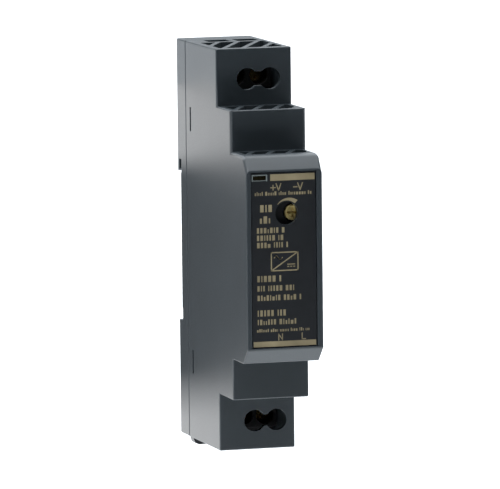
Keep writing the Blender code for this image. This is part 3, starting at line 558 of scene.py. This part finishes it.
def thread(shape, outer, inner, start, stop, pitch, place, steps=24):
    """A shank with a helical thread, its height axis running from start to stop."""
    per_pitch = 6
    count = int((stop - start) / pitch * per_pitch) + 1
    rings = []
    for i in range(count + 1):
        height = start + (stop - start) * i / count
        ring = []
        fade = min(1.0, 4 * i / count, 4 * (count - i) / count)
        for k in range(steps):
            phase = (height / pitch - k / steps) % 1.0
            crest = 1 - abs(2 * phase - 1)
            radius = inner + (outer - inner) * min(1.0, 1.25 * crest) * fade
            angle = 2 * math.pi * k / steps
            ring.append(shape.verts.new(place @ Vector((radius * math.cos(angle), radius * math.sin(angle), height))))
        rings.append(ring)
    for one, two in zip(rings, rings[1:]):
        for k in range(steps):
            j = (k + 1) % steps
            shape.faces.new((one[k], one[j], two[j], two[k]))
    for ring in (rings[0], rings[-1]):
        shape.faces.new(ring)


def screw_mesh():
    """The head and shank of one terminal screw, with its head's face at the origin and its shank along +Y."""
    low, high, _ = spans("terminal_screw_" + POLES[0])
    length = high.y - low.y
    radius = (high.x - low.x) / 2
    place = facing((0, 0, 0), "-Y")
    shape = bmesh.new()
    head = [
        (0, 0), (radius - 0.45 * MM, 0), (radius - 0.2 * MM, -0.05 * MM), (radius - 0.04 * MM, -0.2 * MM),
        (radius, -0.42 * MM), (radius, -1.3 * MM), (radius - 0.1 * MM, -1.48 * MM), (0.9 * MM, -1.5 * MM), (0, -1.5 * MM),
    ]
    add_lathe(shape, head, place, 40)
    thread(shape, 1.19 * MM, 0.98 * MM, -length + 0.02 * MM, -1.45 * MM, 0.5 * MM, place)
    bmesh.ops.recalc_face_normals(shape, faces=shape.faces)
    mesh = bpy.data.meshes.new("screw_blank")
    shape.to_mesh(mesh)
    shape.free()
    blank = bpy.data.objects.new("screw_blank", mesh)
    bpy.context.scene.collection.objects.link(blank)
    cutters = []
    for n, (x, z, depth) in enumerate(((radius + 0.2 * MM, 0.28 * MM, 0.75 * MM), (0.3 * MM, 1.2 * MM, 0.95 * MM), (1.2 * MM, 0.3 * MM, 0.95 * MM))):
        tool = bmesh.new()
        add_box(tool, (-x, -1 * MM, -z), (x, depth, z))
        tool_mesh = bpy.data.meshes.new(f"recess_{n}")
        tool.to_mesh(tool_mesh)
        tool.free()
        cutter = bpy.data.objects.new(f"recess_{n}", tool_mesh)
        bpy.context.scene.collection.objects.link(cutter)
        made = blank.modifiers.new(f"recess_{n}", "BOOLEAN")
        made.operation = "DIFFERENCE"
        made.object = cutter
        cutters.append(cutter)
    bpy.context.view_layer.update()
    graph = bpy.context.evaluated_depsgraph_get()
    cut = bpy.data.meshes.new_from_object(blank.evaluated_get(graph))
    for spare in (blank, *cutters):
        bpy.data.objects.remove(spare)
    return cut


def terminals():
    cut = screw_mesh()
    for pole in POLES:
        node = "terminal_screw_" + pole
        low, high, middle = spans(node)
        shape = bmesh.new()
        shape.from_mesh(cut)
        bmesh.ops.translate(shape, verts=shape.verts, vec=(middle.x, low.y, middle.z))
        piece = finish_mesh(f"clamp_screw_{pole}", shape, ["brass"], BODY_OF[node], outward=False)
        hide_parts(node)
        refined("clamp_cage_" + pole, "tin", 0.12 * MM)
        refined("contact_bar_" + pole, "tin", 0.08 * MM)
        # ridges that bite the wire, across the face of the contact bar
        bar_low, bar_high, _ = spans("contact_bar_" + pole)
        x0, x1 = middle.x - 0.95 * MM, middle.x + 0.95 * MM
        ridges = bmesh.new()
        for k in range(5):
            z = middle.z - 1.2 * MM + 0.6 * MM * k
            add_box(ridges, (x0, bar_high.y - 0.05 * MM, z - 0.1 * MM), (x1, bar_high.y + 0.1 * MM, z + 0.1 * MM))
        ridge = finish_mesh(f"wire_ridges_{pole}", ridges, ["tin"], "casing")
        soften(ridge, 0.05 * MM)


# ---------------------------------------------------------------- circuit board and components

def board_face():
    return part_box("main_board")[1].x


def leads(name, posts, radius=0.28 * MM):
    """Wires from each component down to the board, each with a cone of solder: posts are lists of points."""
    shape = bmesh.new()
    face = board_face()
    for points in posts:
        end = Vector((face + 0.01 * MM, points[-1][1], points[-1][2]))
        add_tube(shape, [*points, end], radius, 8)
        cone = [(0, 0.42 * MM), (radius * 1.05, 0.40 * MM), (radius * 1.5, 0.14 * MM), (radius * 2.3, 0.0), (0, 0.0)]
        add_lathe(shape, cone, facing(end, "X"), 12, 1)
    finish_mesh(name, shape, ["tin", "solder"], "casing")


def board():
    refined("main_board", "board", 0.08 * MM)
    refined("insulation_sheet", "film", 0.05 * MM)
    low, high, _ = spans("main_board")
    face = high.x
    rng = random.Random(11)
    taken = [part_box(node) for node in NODES if node not in ("front_shell", "rear_shell", "main_board", "insulation_sheet", "label_plate")]

    def is_free(y, z, half_y, half_z, height):
        for a, b in taken:
            clear = y + half_y < a.y or y - half_y > b.y or z + half_z < a.z or z - half_z > b.z or a.x > face + height
            if not clear:
                return False
        return True

    def on_outline(y, z, margin):
        from_middle = abs(z - (low.z + high.z) / 2)
        reach = 42.9 * MM if y > -27.6 * MM else (30.4 * MM if y > -38.6 * MM else 20.0 * MM)
        return low.y + margin < y < high.y - margin and from_middle < reach - margin

    tracks = bmesh.new()
    for _ in range(70):
        y, z = rng.uniform(low.y, high.y), rng.uniform(low.z, high.z)
        heading = rng.choice(((1, 0), (0, 1), (-1, 0), (0, -1)))
        width = rng.choice((0.25, 0.25, 0.4, 0.8)) * MM
        for _ in range(rng.randint(2, 4)):
            run = rng.uniform(1.5, 7) * MM
            end = (y + heading[0] * run, z + heading[1] * run)
            if not (on_outline(y, z, 1.2 * MM) and on_outline(*end, 1.2 * MM)):
                break
            sides = sorted((y, end[0])), sorted((z, end[1]))
            add_box(
                tracks,
                (face - 0.02 * MM, sides[0][0] - width / 2, sides[1][0] - width / 2),
                (face + 0.03 * MM, sides[0][1] + width / 2, sides[1][1] + width / 2),
            )
            y, z = end
            heading = rng.choice(((heading[1], heading[0]), (-heading[1], -heading[0])))
    finish_mesh("board_tracks", tracks, ["trace"], "casing")

    small = bmesh.new()
    for _ in range(420):
        y, z = rng.uniform(low.y, high.y), rng.uniform(low.z, high.z)
        along_y = rng.random() < 0.5
        long, short, tall = rng.choice(((0.8, 0.42, 0.45), (1.0, 0.6, 0.5), (1.55, 0.8, 0.55)))
        half_y, half_z = (long * MM, short * MM) if along_y else (short * MM, long * MM)
        if not on_outline(y, z, 2.2 * MM) or not is_free(y, z, half_y + 0.3 * MM, half_z + 0.3 * MM, tall * MM):
            continue
        taken.append((Vector((face, y - half_y, z - half_z)), Vector((face + MM, y + half_y, z + half_z))))
        body = rng.choice((0, 1))
        cap = 0.28 * 2
        inner_y, inner_z = (half_y * (1 - cap), half_z * 0.96) if along_y else (half_y * 0.96, half_z * (1 - cap))
        add_box(small, (face, y - inner_y, z - inner_z), (face + tall * MM, y + inner_y, z + inner_z), body, 0.05 * MM)
        for side in (1, -1):
            if along_y:
                ends = sorted((y + side * inner_y * 0.98, y + side * half_y)), (z - half_z, z + half_z)
            else:
                ends = (y - half_y, y + half_y), sorted((z + side * inner_z * 0.98, z + side * half_z))
            add_box(small, (face, ends[0][0], ends[1][0]), (face + (tall + 0.02) * MM, ends[0][1], ends[1][1]), 2, 0.05 * MM)
    finish_mesh("small_parts", small, ["chip", "resin", "solder"], "casing")


def capacitor(node):
    """Electrolytic can: aluminium end with a scored vent, shrunk sleeve with a stripe, bung and leads."""
    low, high, middle = spans(node)
    radius, half = (high.z - low.z) / 2, (high.y - low.y) / 2
    place = facing(middle, "-Y")
    shape = bmesh.new()
    r = radius
    profile = [
        (0, half - 0.22 * MM), (r - 0.75 * MM, half - 0.22 * MM), (r - 0.45 * MM, half - 0.14 * MM), (r - 0.42 * MM, half - 0.02 * MM),
        (r - 0.3 * MM, half), (r - 0.08 * MM, half - 0.1 * MM), (r, half - 0.35 * MM), (r, 1.95 * MM - half),
        (r - 0.12 * MM, 1.75 * MM - half), (r - 0.35 * MM, 1.5 * MM - half), (r - 0.12 * MM, 1.25 * MM - half), (r, 1.05 * MM - half),
        (r, 0.25 * MM - half), (r - 0.1 * MM, 0.05 * MM - half), (r - 0.6 * MM, -half), (r - 0.65 * MM, 0.2 * MM - half), (0, 0.2 * MM - half),
    ]
    kinds = [1, 1, 1, 0, 0, 0, 0, 0, 0, 0, 0, 0, 0, 0, 2, 2]
    steps = 48
    add_lathe(shape, profile, place, steps, indices=kinds)
    for face in shape.faces:
        centre = face.calc_center_median() - middle
        if face.material_index == 0 and abs(math.atan2(centre.z, centre.x) - 1.15) < 0.32 and centre.y > -half + 0.5 * MM:
            face.material_index = 3
    piece = finish_mesh(node + "_can", shape, ["sleeve", "can", "rubber", "stripe"], BODY_OF[node])
    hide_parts(node)
    vent = bmesh.new()
    top = low.y + 0.22 * MM
    for angle in (0, math.pi / 2):
        along = Vector((math.cos(angle), 0, math.sin(angle))) * (r - 1.2 * MM)
        centre = Vector((middle.x, top - 0.01 * MM, middle.z))
        add_tube(vent, [centre - along, centre, centre + along], 0.07 * MM, 6)
    finish_mesh(node + "_vent", vent, ["can"], BODY_OF[node])
    posts = []
    for side in (1, -1):
        z = middle.z + side * 1.2 * MM
        y = high.y + 0.75 * MM
        posts.append([(middle.x, high.y - 0.4 * MM, z), (middle.x, high.y + 0.35 * MM, z), (middle.x - 0.12 * MM, y - 0.1 * MM, z), (middle.x - 0.5 * MM, y, z)])
    leads(node + "_leads", posts)


def transformer():
    refined("transformer_core", "ferrite", 0.15 * MM)
    low, high, middle = spans("transformer_winding")
    core_low, core_high, _ = spans("transformer_core")
    leg_x, leg_y = 2.8 * MM, 2.45 * MM
    shape = bmesh.new()

    def collar(out_x, out_y, z0, z1, radius, index):
        """A rounded rectangular ring round the core's middle leg."""
        def corner_ring(half_x, half_y, r, z):
            ring = []
            for sx, sy, start in ((1, 1, 0), (-1, 1, 90), (-1, -1, 180), (1, -1, 270)):
                for k in range(5):
                    t = math.radians(start + 90 * k / 4)
                    x = middle.x + sx * (half_x - r) + r * math.cos(t)
                    y = middle.y + sy * (half_y - r) + r * math.sin(t)
                    ring.append(shape.verts.new((x, y, z)))
            return ring
        rings = [
            corner_ring(leg_x, leg_y, 0.1 * MM, z0), corner_ring(out_x - 0.25 * MM, out_y - 0.25 * MM, radius, z0),
            corner_ring(out_x, out_y, radius, z0 + 0.25 * MM), corner_ring(out_x, out_y, radius, z1 - 0.25 * MM),
            corner_ring(out_x - 0.25 * MM, out_y - 0.25 * MM, radius, z1), corner_ring(leg_x, leg_y, 0.1 * MM, z1),
        ]
        for one, two in zip(rings, rings[1:] + rings[:1]):
            for k in range(len(one)):
                j = (k + 1) % len(one)
                shape.faces.new((one[k], one[j], two[j], two[k])).material_index = index

    half_x, half_y = (high.x - low.x) / 2, (high.y - low.y) / 2
    collar(half_x - 0.45 * MM, half_y - 0.35 * MM, low.z + 0.6 * MM, high.z - 0.6 * MM, 1.1 * MM, 0)
    collar(half_x, half_y, low.z, low.z + 0.65 * MM, 0.5 * MM, 1)
    collar(half_x, half_y, high.z - 0.65 * MM, high.z, 0.5 * MM, 1)
    piece = finish_mesh("transformer_coil", shape, ["tape", "phenolic"], BODY_OF["transformer_winding"])
    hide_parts("transformer_winding")
    posts = []
    for z in (low.z + 0.32 * MM, high.z - 0.32 * MM):
        for k in range(4):
            y = middle.y + (k - 1.5) * 2.5 * MM
            posts.append([(low.x + 0.6 * MM, y, z), (low.x - 0.1 * MM, y, z)])
    leads("transformer_pins", posts, radius=0.25 * MM)


def choke():
    """Two windings of enamelled wire on a coated ring."""
    node = "common_mode_choke"
    low, high, middle = spans(node)
    minor = (high.x - low.x) / 2
    major = (high.z - low.z) / 2 - minor
    wire = 0.2 * MM
    core = bmesh.new()
    steps, around = 56, 20
    rings = []
    for i in range(steps):
        a = 2 * math.pi * i / steps
        out = Vector((0, math.cos(a), math.sin(a)))
        ring = []
        for k in range(around):
            t = 2 * math.pi * k / around
            # a rounded square section
            c, s = math.cos(t), math.sin(t)
            bulge = (minor - 2 * wire - 0.02 * MM) / (abs(c) ** 4 + abs(s) ** 4) ** 0.25 * 0.86
            ring.append(core.verts.new(middle + out * (major + bulge * c) + Vector((bulge * s, 0, 0))))
        rings.append(ring)
    for i in range(steps):
        one, two = rings[i], rings[(i + 1) % steps]
        for k in range(around):
            j = (k + 1) % around
            core.faces.new((one[k], one[j], two[j], two[k])).material_index = 0
    for side, start in ((1, 22), (-1, 202)):
        turns, per_turn = 13, 16
        points = []
        for i in range(turns * per_turn + 1):
            share = i / (turns * per_turn)
            a = math.radians(start + 136 * share)
            out = Vector((0, math.cos(a), math.sin(a)))
            t = 2 * math.pi * turns * share
            reach = minor - wire
            points.append(middle + out * (major + reach * math.cos(t)) + Vector((reach * math.sin(t), 0, 0)))
        add_tube(core, points, wire * 0.97, 6, 1)
    piece = finish_mesh("choke_wound", core, ["ferrite", "copper"], BODY_OF[node])
    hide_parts(node)
    posts = []
    for dy, dz in ((2.6, 1.7), (2.6, -1.7), (-2.6, 1.7), (-2.6, -1.7)):
        posts.append([(low.x + 0.35 * MM, middle.y + dy * MM, middle.z + dz * MM), (low.x - 0.1 * MM, middle.y + dy * MM, middle.z + dz * MM)])
    leads("choke_leads", posts, radius=0.2 * MM)


def inductor():
    node = "output_inductor"
    low, high, middle = spans(node)
    refined(node, "ferrite", 0.15 * MM)
    shape = bmesh.new()
    wire, turns, steps = 0.22 * MM, 7, 28
    reach, run = 2.88 * MM, 3.2 * MM
    points = []
    for i in range(turns * steps + 1):
        share = i / (turns * steps)
        a = 2 * math.pi * turns * share
        points.append((middle.x - run / 2 + run * share, middle.y + reach * math.cos(a), middle.z + reach * math.sin(a)))
    add_tube(shape, points, wire, 8)
    finish_mesh("inductor_winding", shape, ["copper"], BODY_OF[node])
    leads("inductor_leads", [[(low.x + 0.2 * MM, middle.y, middle.z + d * MM), (low.x - 0.02 * MM, middle.y, middle.z + d * MM)] for d in (2.2, -2.2)])


def fuse():
    node = "input_fuse"
    low, high, middle = spans(node)
    radius, half = (high.z - low.z) / 2, (high.y - low.y) / 2
    shape = bmesh.new()
    cap = 1.9 * MM
    profile = [
        (0, half), (radius - 0.25 * MM, half), (radius - 0.05 * MM, half - 0.12 * MM), (radius, half - 0.3 * MM), (radius, half - cap),
        (radius - 0.06 * MM, half - cap - 0.05 * MM), (radius - 0.22 * MM, half - cap - 0.08 * MM),
        (radius - 0.22 * MM, -half + cap + 0.08 * MM), (radius - 0.06 * MM, -half + cap + 0.05 * MM), (radius, -half + cap),
        (radius, -half + 0.3 * MM), (radius - 0.05 * MM, -half + 0.12 * MM), (radius - 0.25 * MM, -half), (0, -half),
    ]
    add_lathe(shape, profile, facing(middle, "-Y"), 36, indices=[1, 1, 1, 1, 1, 1, 0, 1, 1, 1, 1, 1, 1])
    piece = finish_mesh("fuse_tube", shape, ["ceramic", "nickel"], BODY_OF[node])
    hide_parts(node)
    posts = []
    for side in (1, -1):
        y = middle.y + side * (half + 0.55 * MM)
        posts.append([(middle.x, middle.y + side * (half - 0.2 * MM), middle.z), (middle.x, y - side * 0.15 * MM, middle.z), (middle.x - 0.15 * MM, y, middle.z)])
    leads("fuse_leads", posts)


def disc_part(node, look):
    """A dipped disc: domed faces, and resin that runs a little way down its leads."""
    low, high, middle = spans(node)
    radius, half = (high.z - low.z) / 2, (high.y - low.y) / 2
    steps = 14
    profile = []
    for k in range(steps + 1):
        t = math.pi * k / steps
        out = math.sin(t) ** 0.42 if 0 < k < steps else 0.0
        profile.append((radius * out, half * math.cos(t)))
    shape = bmesh.new()
    add_lathe(shape, profile, facing(middle, "-Y"), 44)
    for side in (1, -1):
        z = middle.z + side * radius * 0.55
        skirt = [(low.x + radius * 0.3, middle.y, z), (low.x + 0.15 * MM, middle.y, z), (low.x - 0.05 * MM, middle.y, z)]
        add_tube(shape, skirt, [0.75 * MM, 0.5 * MM, 0.3 * MM], 12)
    piece = finish_mesh(node + "_dipped", shape, [look], BODY_OF[node])
    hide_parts(node)
    posts = [[(low.x + 0.3 * MM, middle.y, middle.z + s * radius * 0.55), (low.x, middle.y, middle.z + s * radius * 0.55)] for s in (1, -1)]
    leads(node + "_leads", posts)


def gull_pins(name, node, count, pitch, width, sides="Z"):
    """Flat pins that leave a chip half way up, step down and lie on the board."""
    low, high, middle = spans(node)
    face = board_face()
    shape = bmesh.new()
    thick = 0.14 * MM
    for side in (1, -1):
        for k in range(count):
            offset = (k - (count - 1) / 2) * pitch
            edge = (high.z if side > 0 else low.z) if sides == "Z" else (high.y if side > 0 else low.y)
            run = [(0.55, -0.05), (0.55, 0.22), (0.42, 0.42), (0.1, 0.5), (0.0, 0.62), (0.0, 0.95)]
            tall = middle.x - face
            for (h0, d0), (h1, d1) in zip(run, run[1:]):
                x = sorted((face + h0 / 0.55 * tall * 0.9, face + h1 / 0.55 * tall * 0.9))
                d = sorted((edge + side * d0 * MM, edge + side * d1 * MM))
                across = (middle.y + offset if sides == "Z" else middle.z + offset)
                if sides == "Z":
                    add_box(shape, (x[0], across - width / 2, d[0]), (x[1] + thick, across + width / 2, d[1]))
                else:
                    add_box(shape, (x[0], d[0], across - width / 2), (x[1] + thick, d[1], across + width / 2))
    finish_mesh(name, shape, ["tin"], BODY_OF[node])


def chips():
    for node, look, width in (
        ("bridge_rectifier", "chip", 0.25 * MM), ("switching_transistor", "chip", 0.2 * MM), ("optocoupler", "chip", 0.15 * MM),
        ("controller_chip", "chip", 0.12 * MM), ("output_diode", "chip", 0.2 * MM), ("heatsink", "fin", 0.1 * MM),
        ("x_capacitor", "film_cap", 0.2 * MM), ("status_led", "lamp", 0.12 * MM),
    ):
        refined(node, look, width)
    gull_pins("controller_pins", "controller_chip", 4, 1.1 * MM, 0.4 * MM)
    gull_pins("optocoupler_pins", "optocoupler", 2, 2.54 * MM, 0.6 * MM)
    gull_pins("diode_tabs", "output_diode", 1, 0, 2.4 * MM)

    low, high, middle = spans("bridge_rectifier")
    leads("bridge_leads", [[(low.x + 0.3 * MM, middle.y + a * MM, middle.z + b * MM), (low.x, middle.y + a * MM, middle.z + b * MM)] for a in (-2.5, 2.5) for b in (-2.5, 2.5)])
    low, high, middle = spans("switching_transistor")
    leads("transistor_leads", [[(low.x + 0.4 * MM, middle.y, middle.z + k * 1.9 * MM), (low.x, middle.y, middle.z + k * 1.9 * MM)] for k in (-1, 0, 1)])
    low, high, middle = spans("x_capacitor")
    leads("x_capacitor_leads", [[(low.x + 0.3 * MM, middle.y, middle.z + k * 3.75 * MM), (low.x, middle.y, middle.z + k * 3.75 * MM)] for k in (-1, 1)])

    # details: pin-one marks and the transistor's clip on the heatsink
    shape = bmesh.new()
    low, high, middle = spans("controller_chip")
    dot = facing((high.x - 0.01 * MM, low.y + 0.75 * MM, low.z + 0.75 * MM), "X")
    add_lathe(shape, [(0, 0.02 * MM), (0.3 * MM, 0.02 * MM), (0.3 * MM, 0), (0, 0)], dot, 16)
    low, high, middle = spans("optocoupler")
    dot = facing((high.x - 0.01 * MM, low.y + 0.9 * MM, low.z + 0.9 * MM), "X")
    add_lathe(shape, [(0, 0.02 * MM), (0.35 * MM, 0.02 * MM), (0.35 * MM, 0), (0, 0)], dot, 16)
    low, high, middle = spans("output_diode")
    add_box(shape, (high.x - 0.01 * MM, low.y + 0.7 * MM, low.z + 0.3 * MM), (high.x + 0.02 * MM, low.y + 1.3 * MM, high.z - 0.3 * MM))
    finish_mesh("component_marks", shape, ["mark"], "casing")

    low, high, middle = spans("switching_transistor")
    sink_low, sink_high, _ = spans("heatsink")
    clip = bmesh.new()
    top = high.x
    points_y = (low.y - 0.3 * MM, sink_high.y + 0.05 * MM)
    add_box(clip, (top - 3.4 * MM, low.y - 0.35 * MM, middle.z - 1.1 * MM), (top + 0.35 * MM, low.y - 0.02 * MM, middle.z + 1.1 * MM), 0, 0.06 * MM)
    add_box(clip, (top + 0.02 * MM, low.y - 0.35 * MM, middle.z - 1.1 * MM), (top + 0.35 * MM, sink_low.y - 0.02 * MM, middle.z + 1.1 * MM), 0, 0.06 * MM)
    screw = facing((top - 1.8 * MM, low.y - 0.35 * MM, middle.z), "-Y")
    add_lathe(clip, [(0, 0.5 * MM), (0.6 * MM, 0.48 * MM), (0.95 * MM, 0.25 * MM), (1.0 * MM, 0.0), (0, 0.0)], screw, 24)
    finish_mesh("transistor_clip", clip, ["nickel"], "casing")


def components():
    for node in ("bulk_capacitor_1", "bulk_capacitor_2", "output_capacitor_1", "output_capacitor_2"):
        capacitor(node)
    transformer()
    choke()
    inductor()
    fuse()
    disc_part("varistor", "dipped")
    disc_part("y_capacitor", "dipped")
    disc_part("inrush_thermistor", "dark_dipped")
    chips()


# ---------------------------------------------------------------- floor, light
def graded_card(name, x, z, depth, dark, fade):
    """A card that only reflections see: dark between the two heights of dark, fading to the backdrop beyond."""
    shape = bmesh.new()
    add_plate(shape, [(x[0], z[0]), (x[1], z[0]), (x[1], z[1]), (x[0], z[1])], depth + MM, depth)
    mesh = bpy.data.meshes.new(name)
    shape.to_mesh(mesh)
    shape.free()
    made = bpy.data.materials.new(name)
    made.use_nodes = True
    tree = made.node_tree
    place = add(tree, "ShaderNodeTexCoord").outputs["Object"]
    height = add(tree, "ShaderNodeSeparateXYZ", Vector=place).outputs["Z"]
    upper = ramp(tree, height, dark[1], dark[1] + fade[1], CARD_GLOW, CARD_HEAD_GLOW)
    lower = ramp(tree, height, dark[0] - fade[0], dark[0], CARD_FOOT_GLOW, CARD_GLOW)
    both = add(tree, "ShaderNodeMath", {"operation": "MAXIMUM"})
    tree.links.new(upper, both.inputs[0])
    tree.links.new(lower, both.inputs[1])
    glow = add(tree, "ShaderNodeEmission", Strength=both.outputs[0])
    tree.links.new(glow.outputs[0], tree.nodes["Material Output"].inputs["Surface"])
    mesh.materials.append(made)
    card = bpy.data.objects.new(name, mesh)
    bpy.context.scene.collection.objects.link(card)
    card.visible_camera = False
    card.visible_diffuse = False
    card.visible_shadow = False
    card.visible_transmission = False


def make_stage():
    """A pale floor far below, a bright surround that is dark in front, one broad soft light and a graded card."""
    looks["floor"] = surface("floor_paint", (0.88, 0.88, 0.88), 0.9, grain=(60, 20), tone=0.02)
    near, far, wide = FLOOR_FRONT, 12.0, 12.0
    shape = bmesh.new()
    z = cad_low.z - FLOOR_DROP
    shape.faces.new([shape.verts.new(corner) for corner in ((-wide, near, z), (wide, near, z), (wide, far, z), (-wide, far, z))])
    mesh = bpy.data.meshes.new("floor")
    shape.to_mesh(mesh)
    shape.free()
    mesh.materials.append(looks["floor"])
    floor = bpy.data.objects.new("floor", mesh)
    bpy.context.scene.collection.objects.link(floor)

    lamp = bpy.data.lights.new("soft_light", "SUN")
    lamp.energy = TOP_LIGHT
    lamp.angle = math.radians(110)
    lamp.color = (0.95, 1.0, 1.045)
    sun = bpy.data.objects.new("soft_light", lamp)
    sun.rotation_euler = (math.radians(-14), math.radians(-4), 0)
    bpy.context.scene.collection.objects.link(sun)

    world = bpy.data.worlds.new("studio")
    bpy.context.scene.world = world
    world.use_nodes = True
    tree = world.node_tree
    background = tree.nodes["Background"]
    background.inputs["Color"].default_value = (1, 1, 1, 1)
    direction = add(tree, "ShaderNodeTexCoord").outputs["Generated"]
    parts = add(tree, "ShaderNodeSeparateXYZ", Vector=direction)
    behind = ramp(tree, parts.outputs["Y"], -0.45, 0.35, FRONT_GLOW, BACK_GLOW)
    above = ramp(tree, parts.outputs["Z"], 0.35, 0.95, 0.0, SKY_GLOW)
    total = add(tree, "ShaderNodeMath", {"operation": "MAXIMUM"})
    tree.links.new(behind, total.inputs[0])
    tree.links.new(above, total.inputs[1])
    # what shows behind the object is one even pale backdrop from every side
    seen = add(tree, "ShaderNodeLightPath").outputs["Is Camera Ray"]
    strength = add(tree, "ShaderNodeMix", {"data_type": "FLOAT"})
    tree.links.new(seen, strength.inputs[0])
    tree.links.new(total.outputs[0], strength.inputs[2])
    strength.inputs[3].default_value = BACKDROP_GLOW
    tree.links.new(strength.outputs[0], background.inputs["Strength"])
    bpy.context.scene.view_settings.view_transform = "Standard"

    graded_card("dark_card", (-0.14, -0.0089), (-0.055, 0.035), 5 * MM, CARD_DARK, CARD_FADE)


make_camera()
casing()
label_printing()
window_trim()
trimmer()
foot_spring()
terminals()
board()
components()
make_stage()
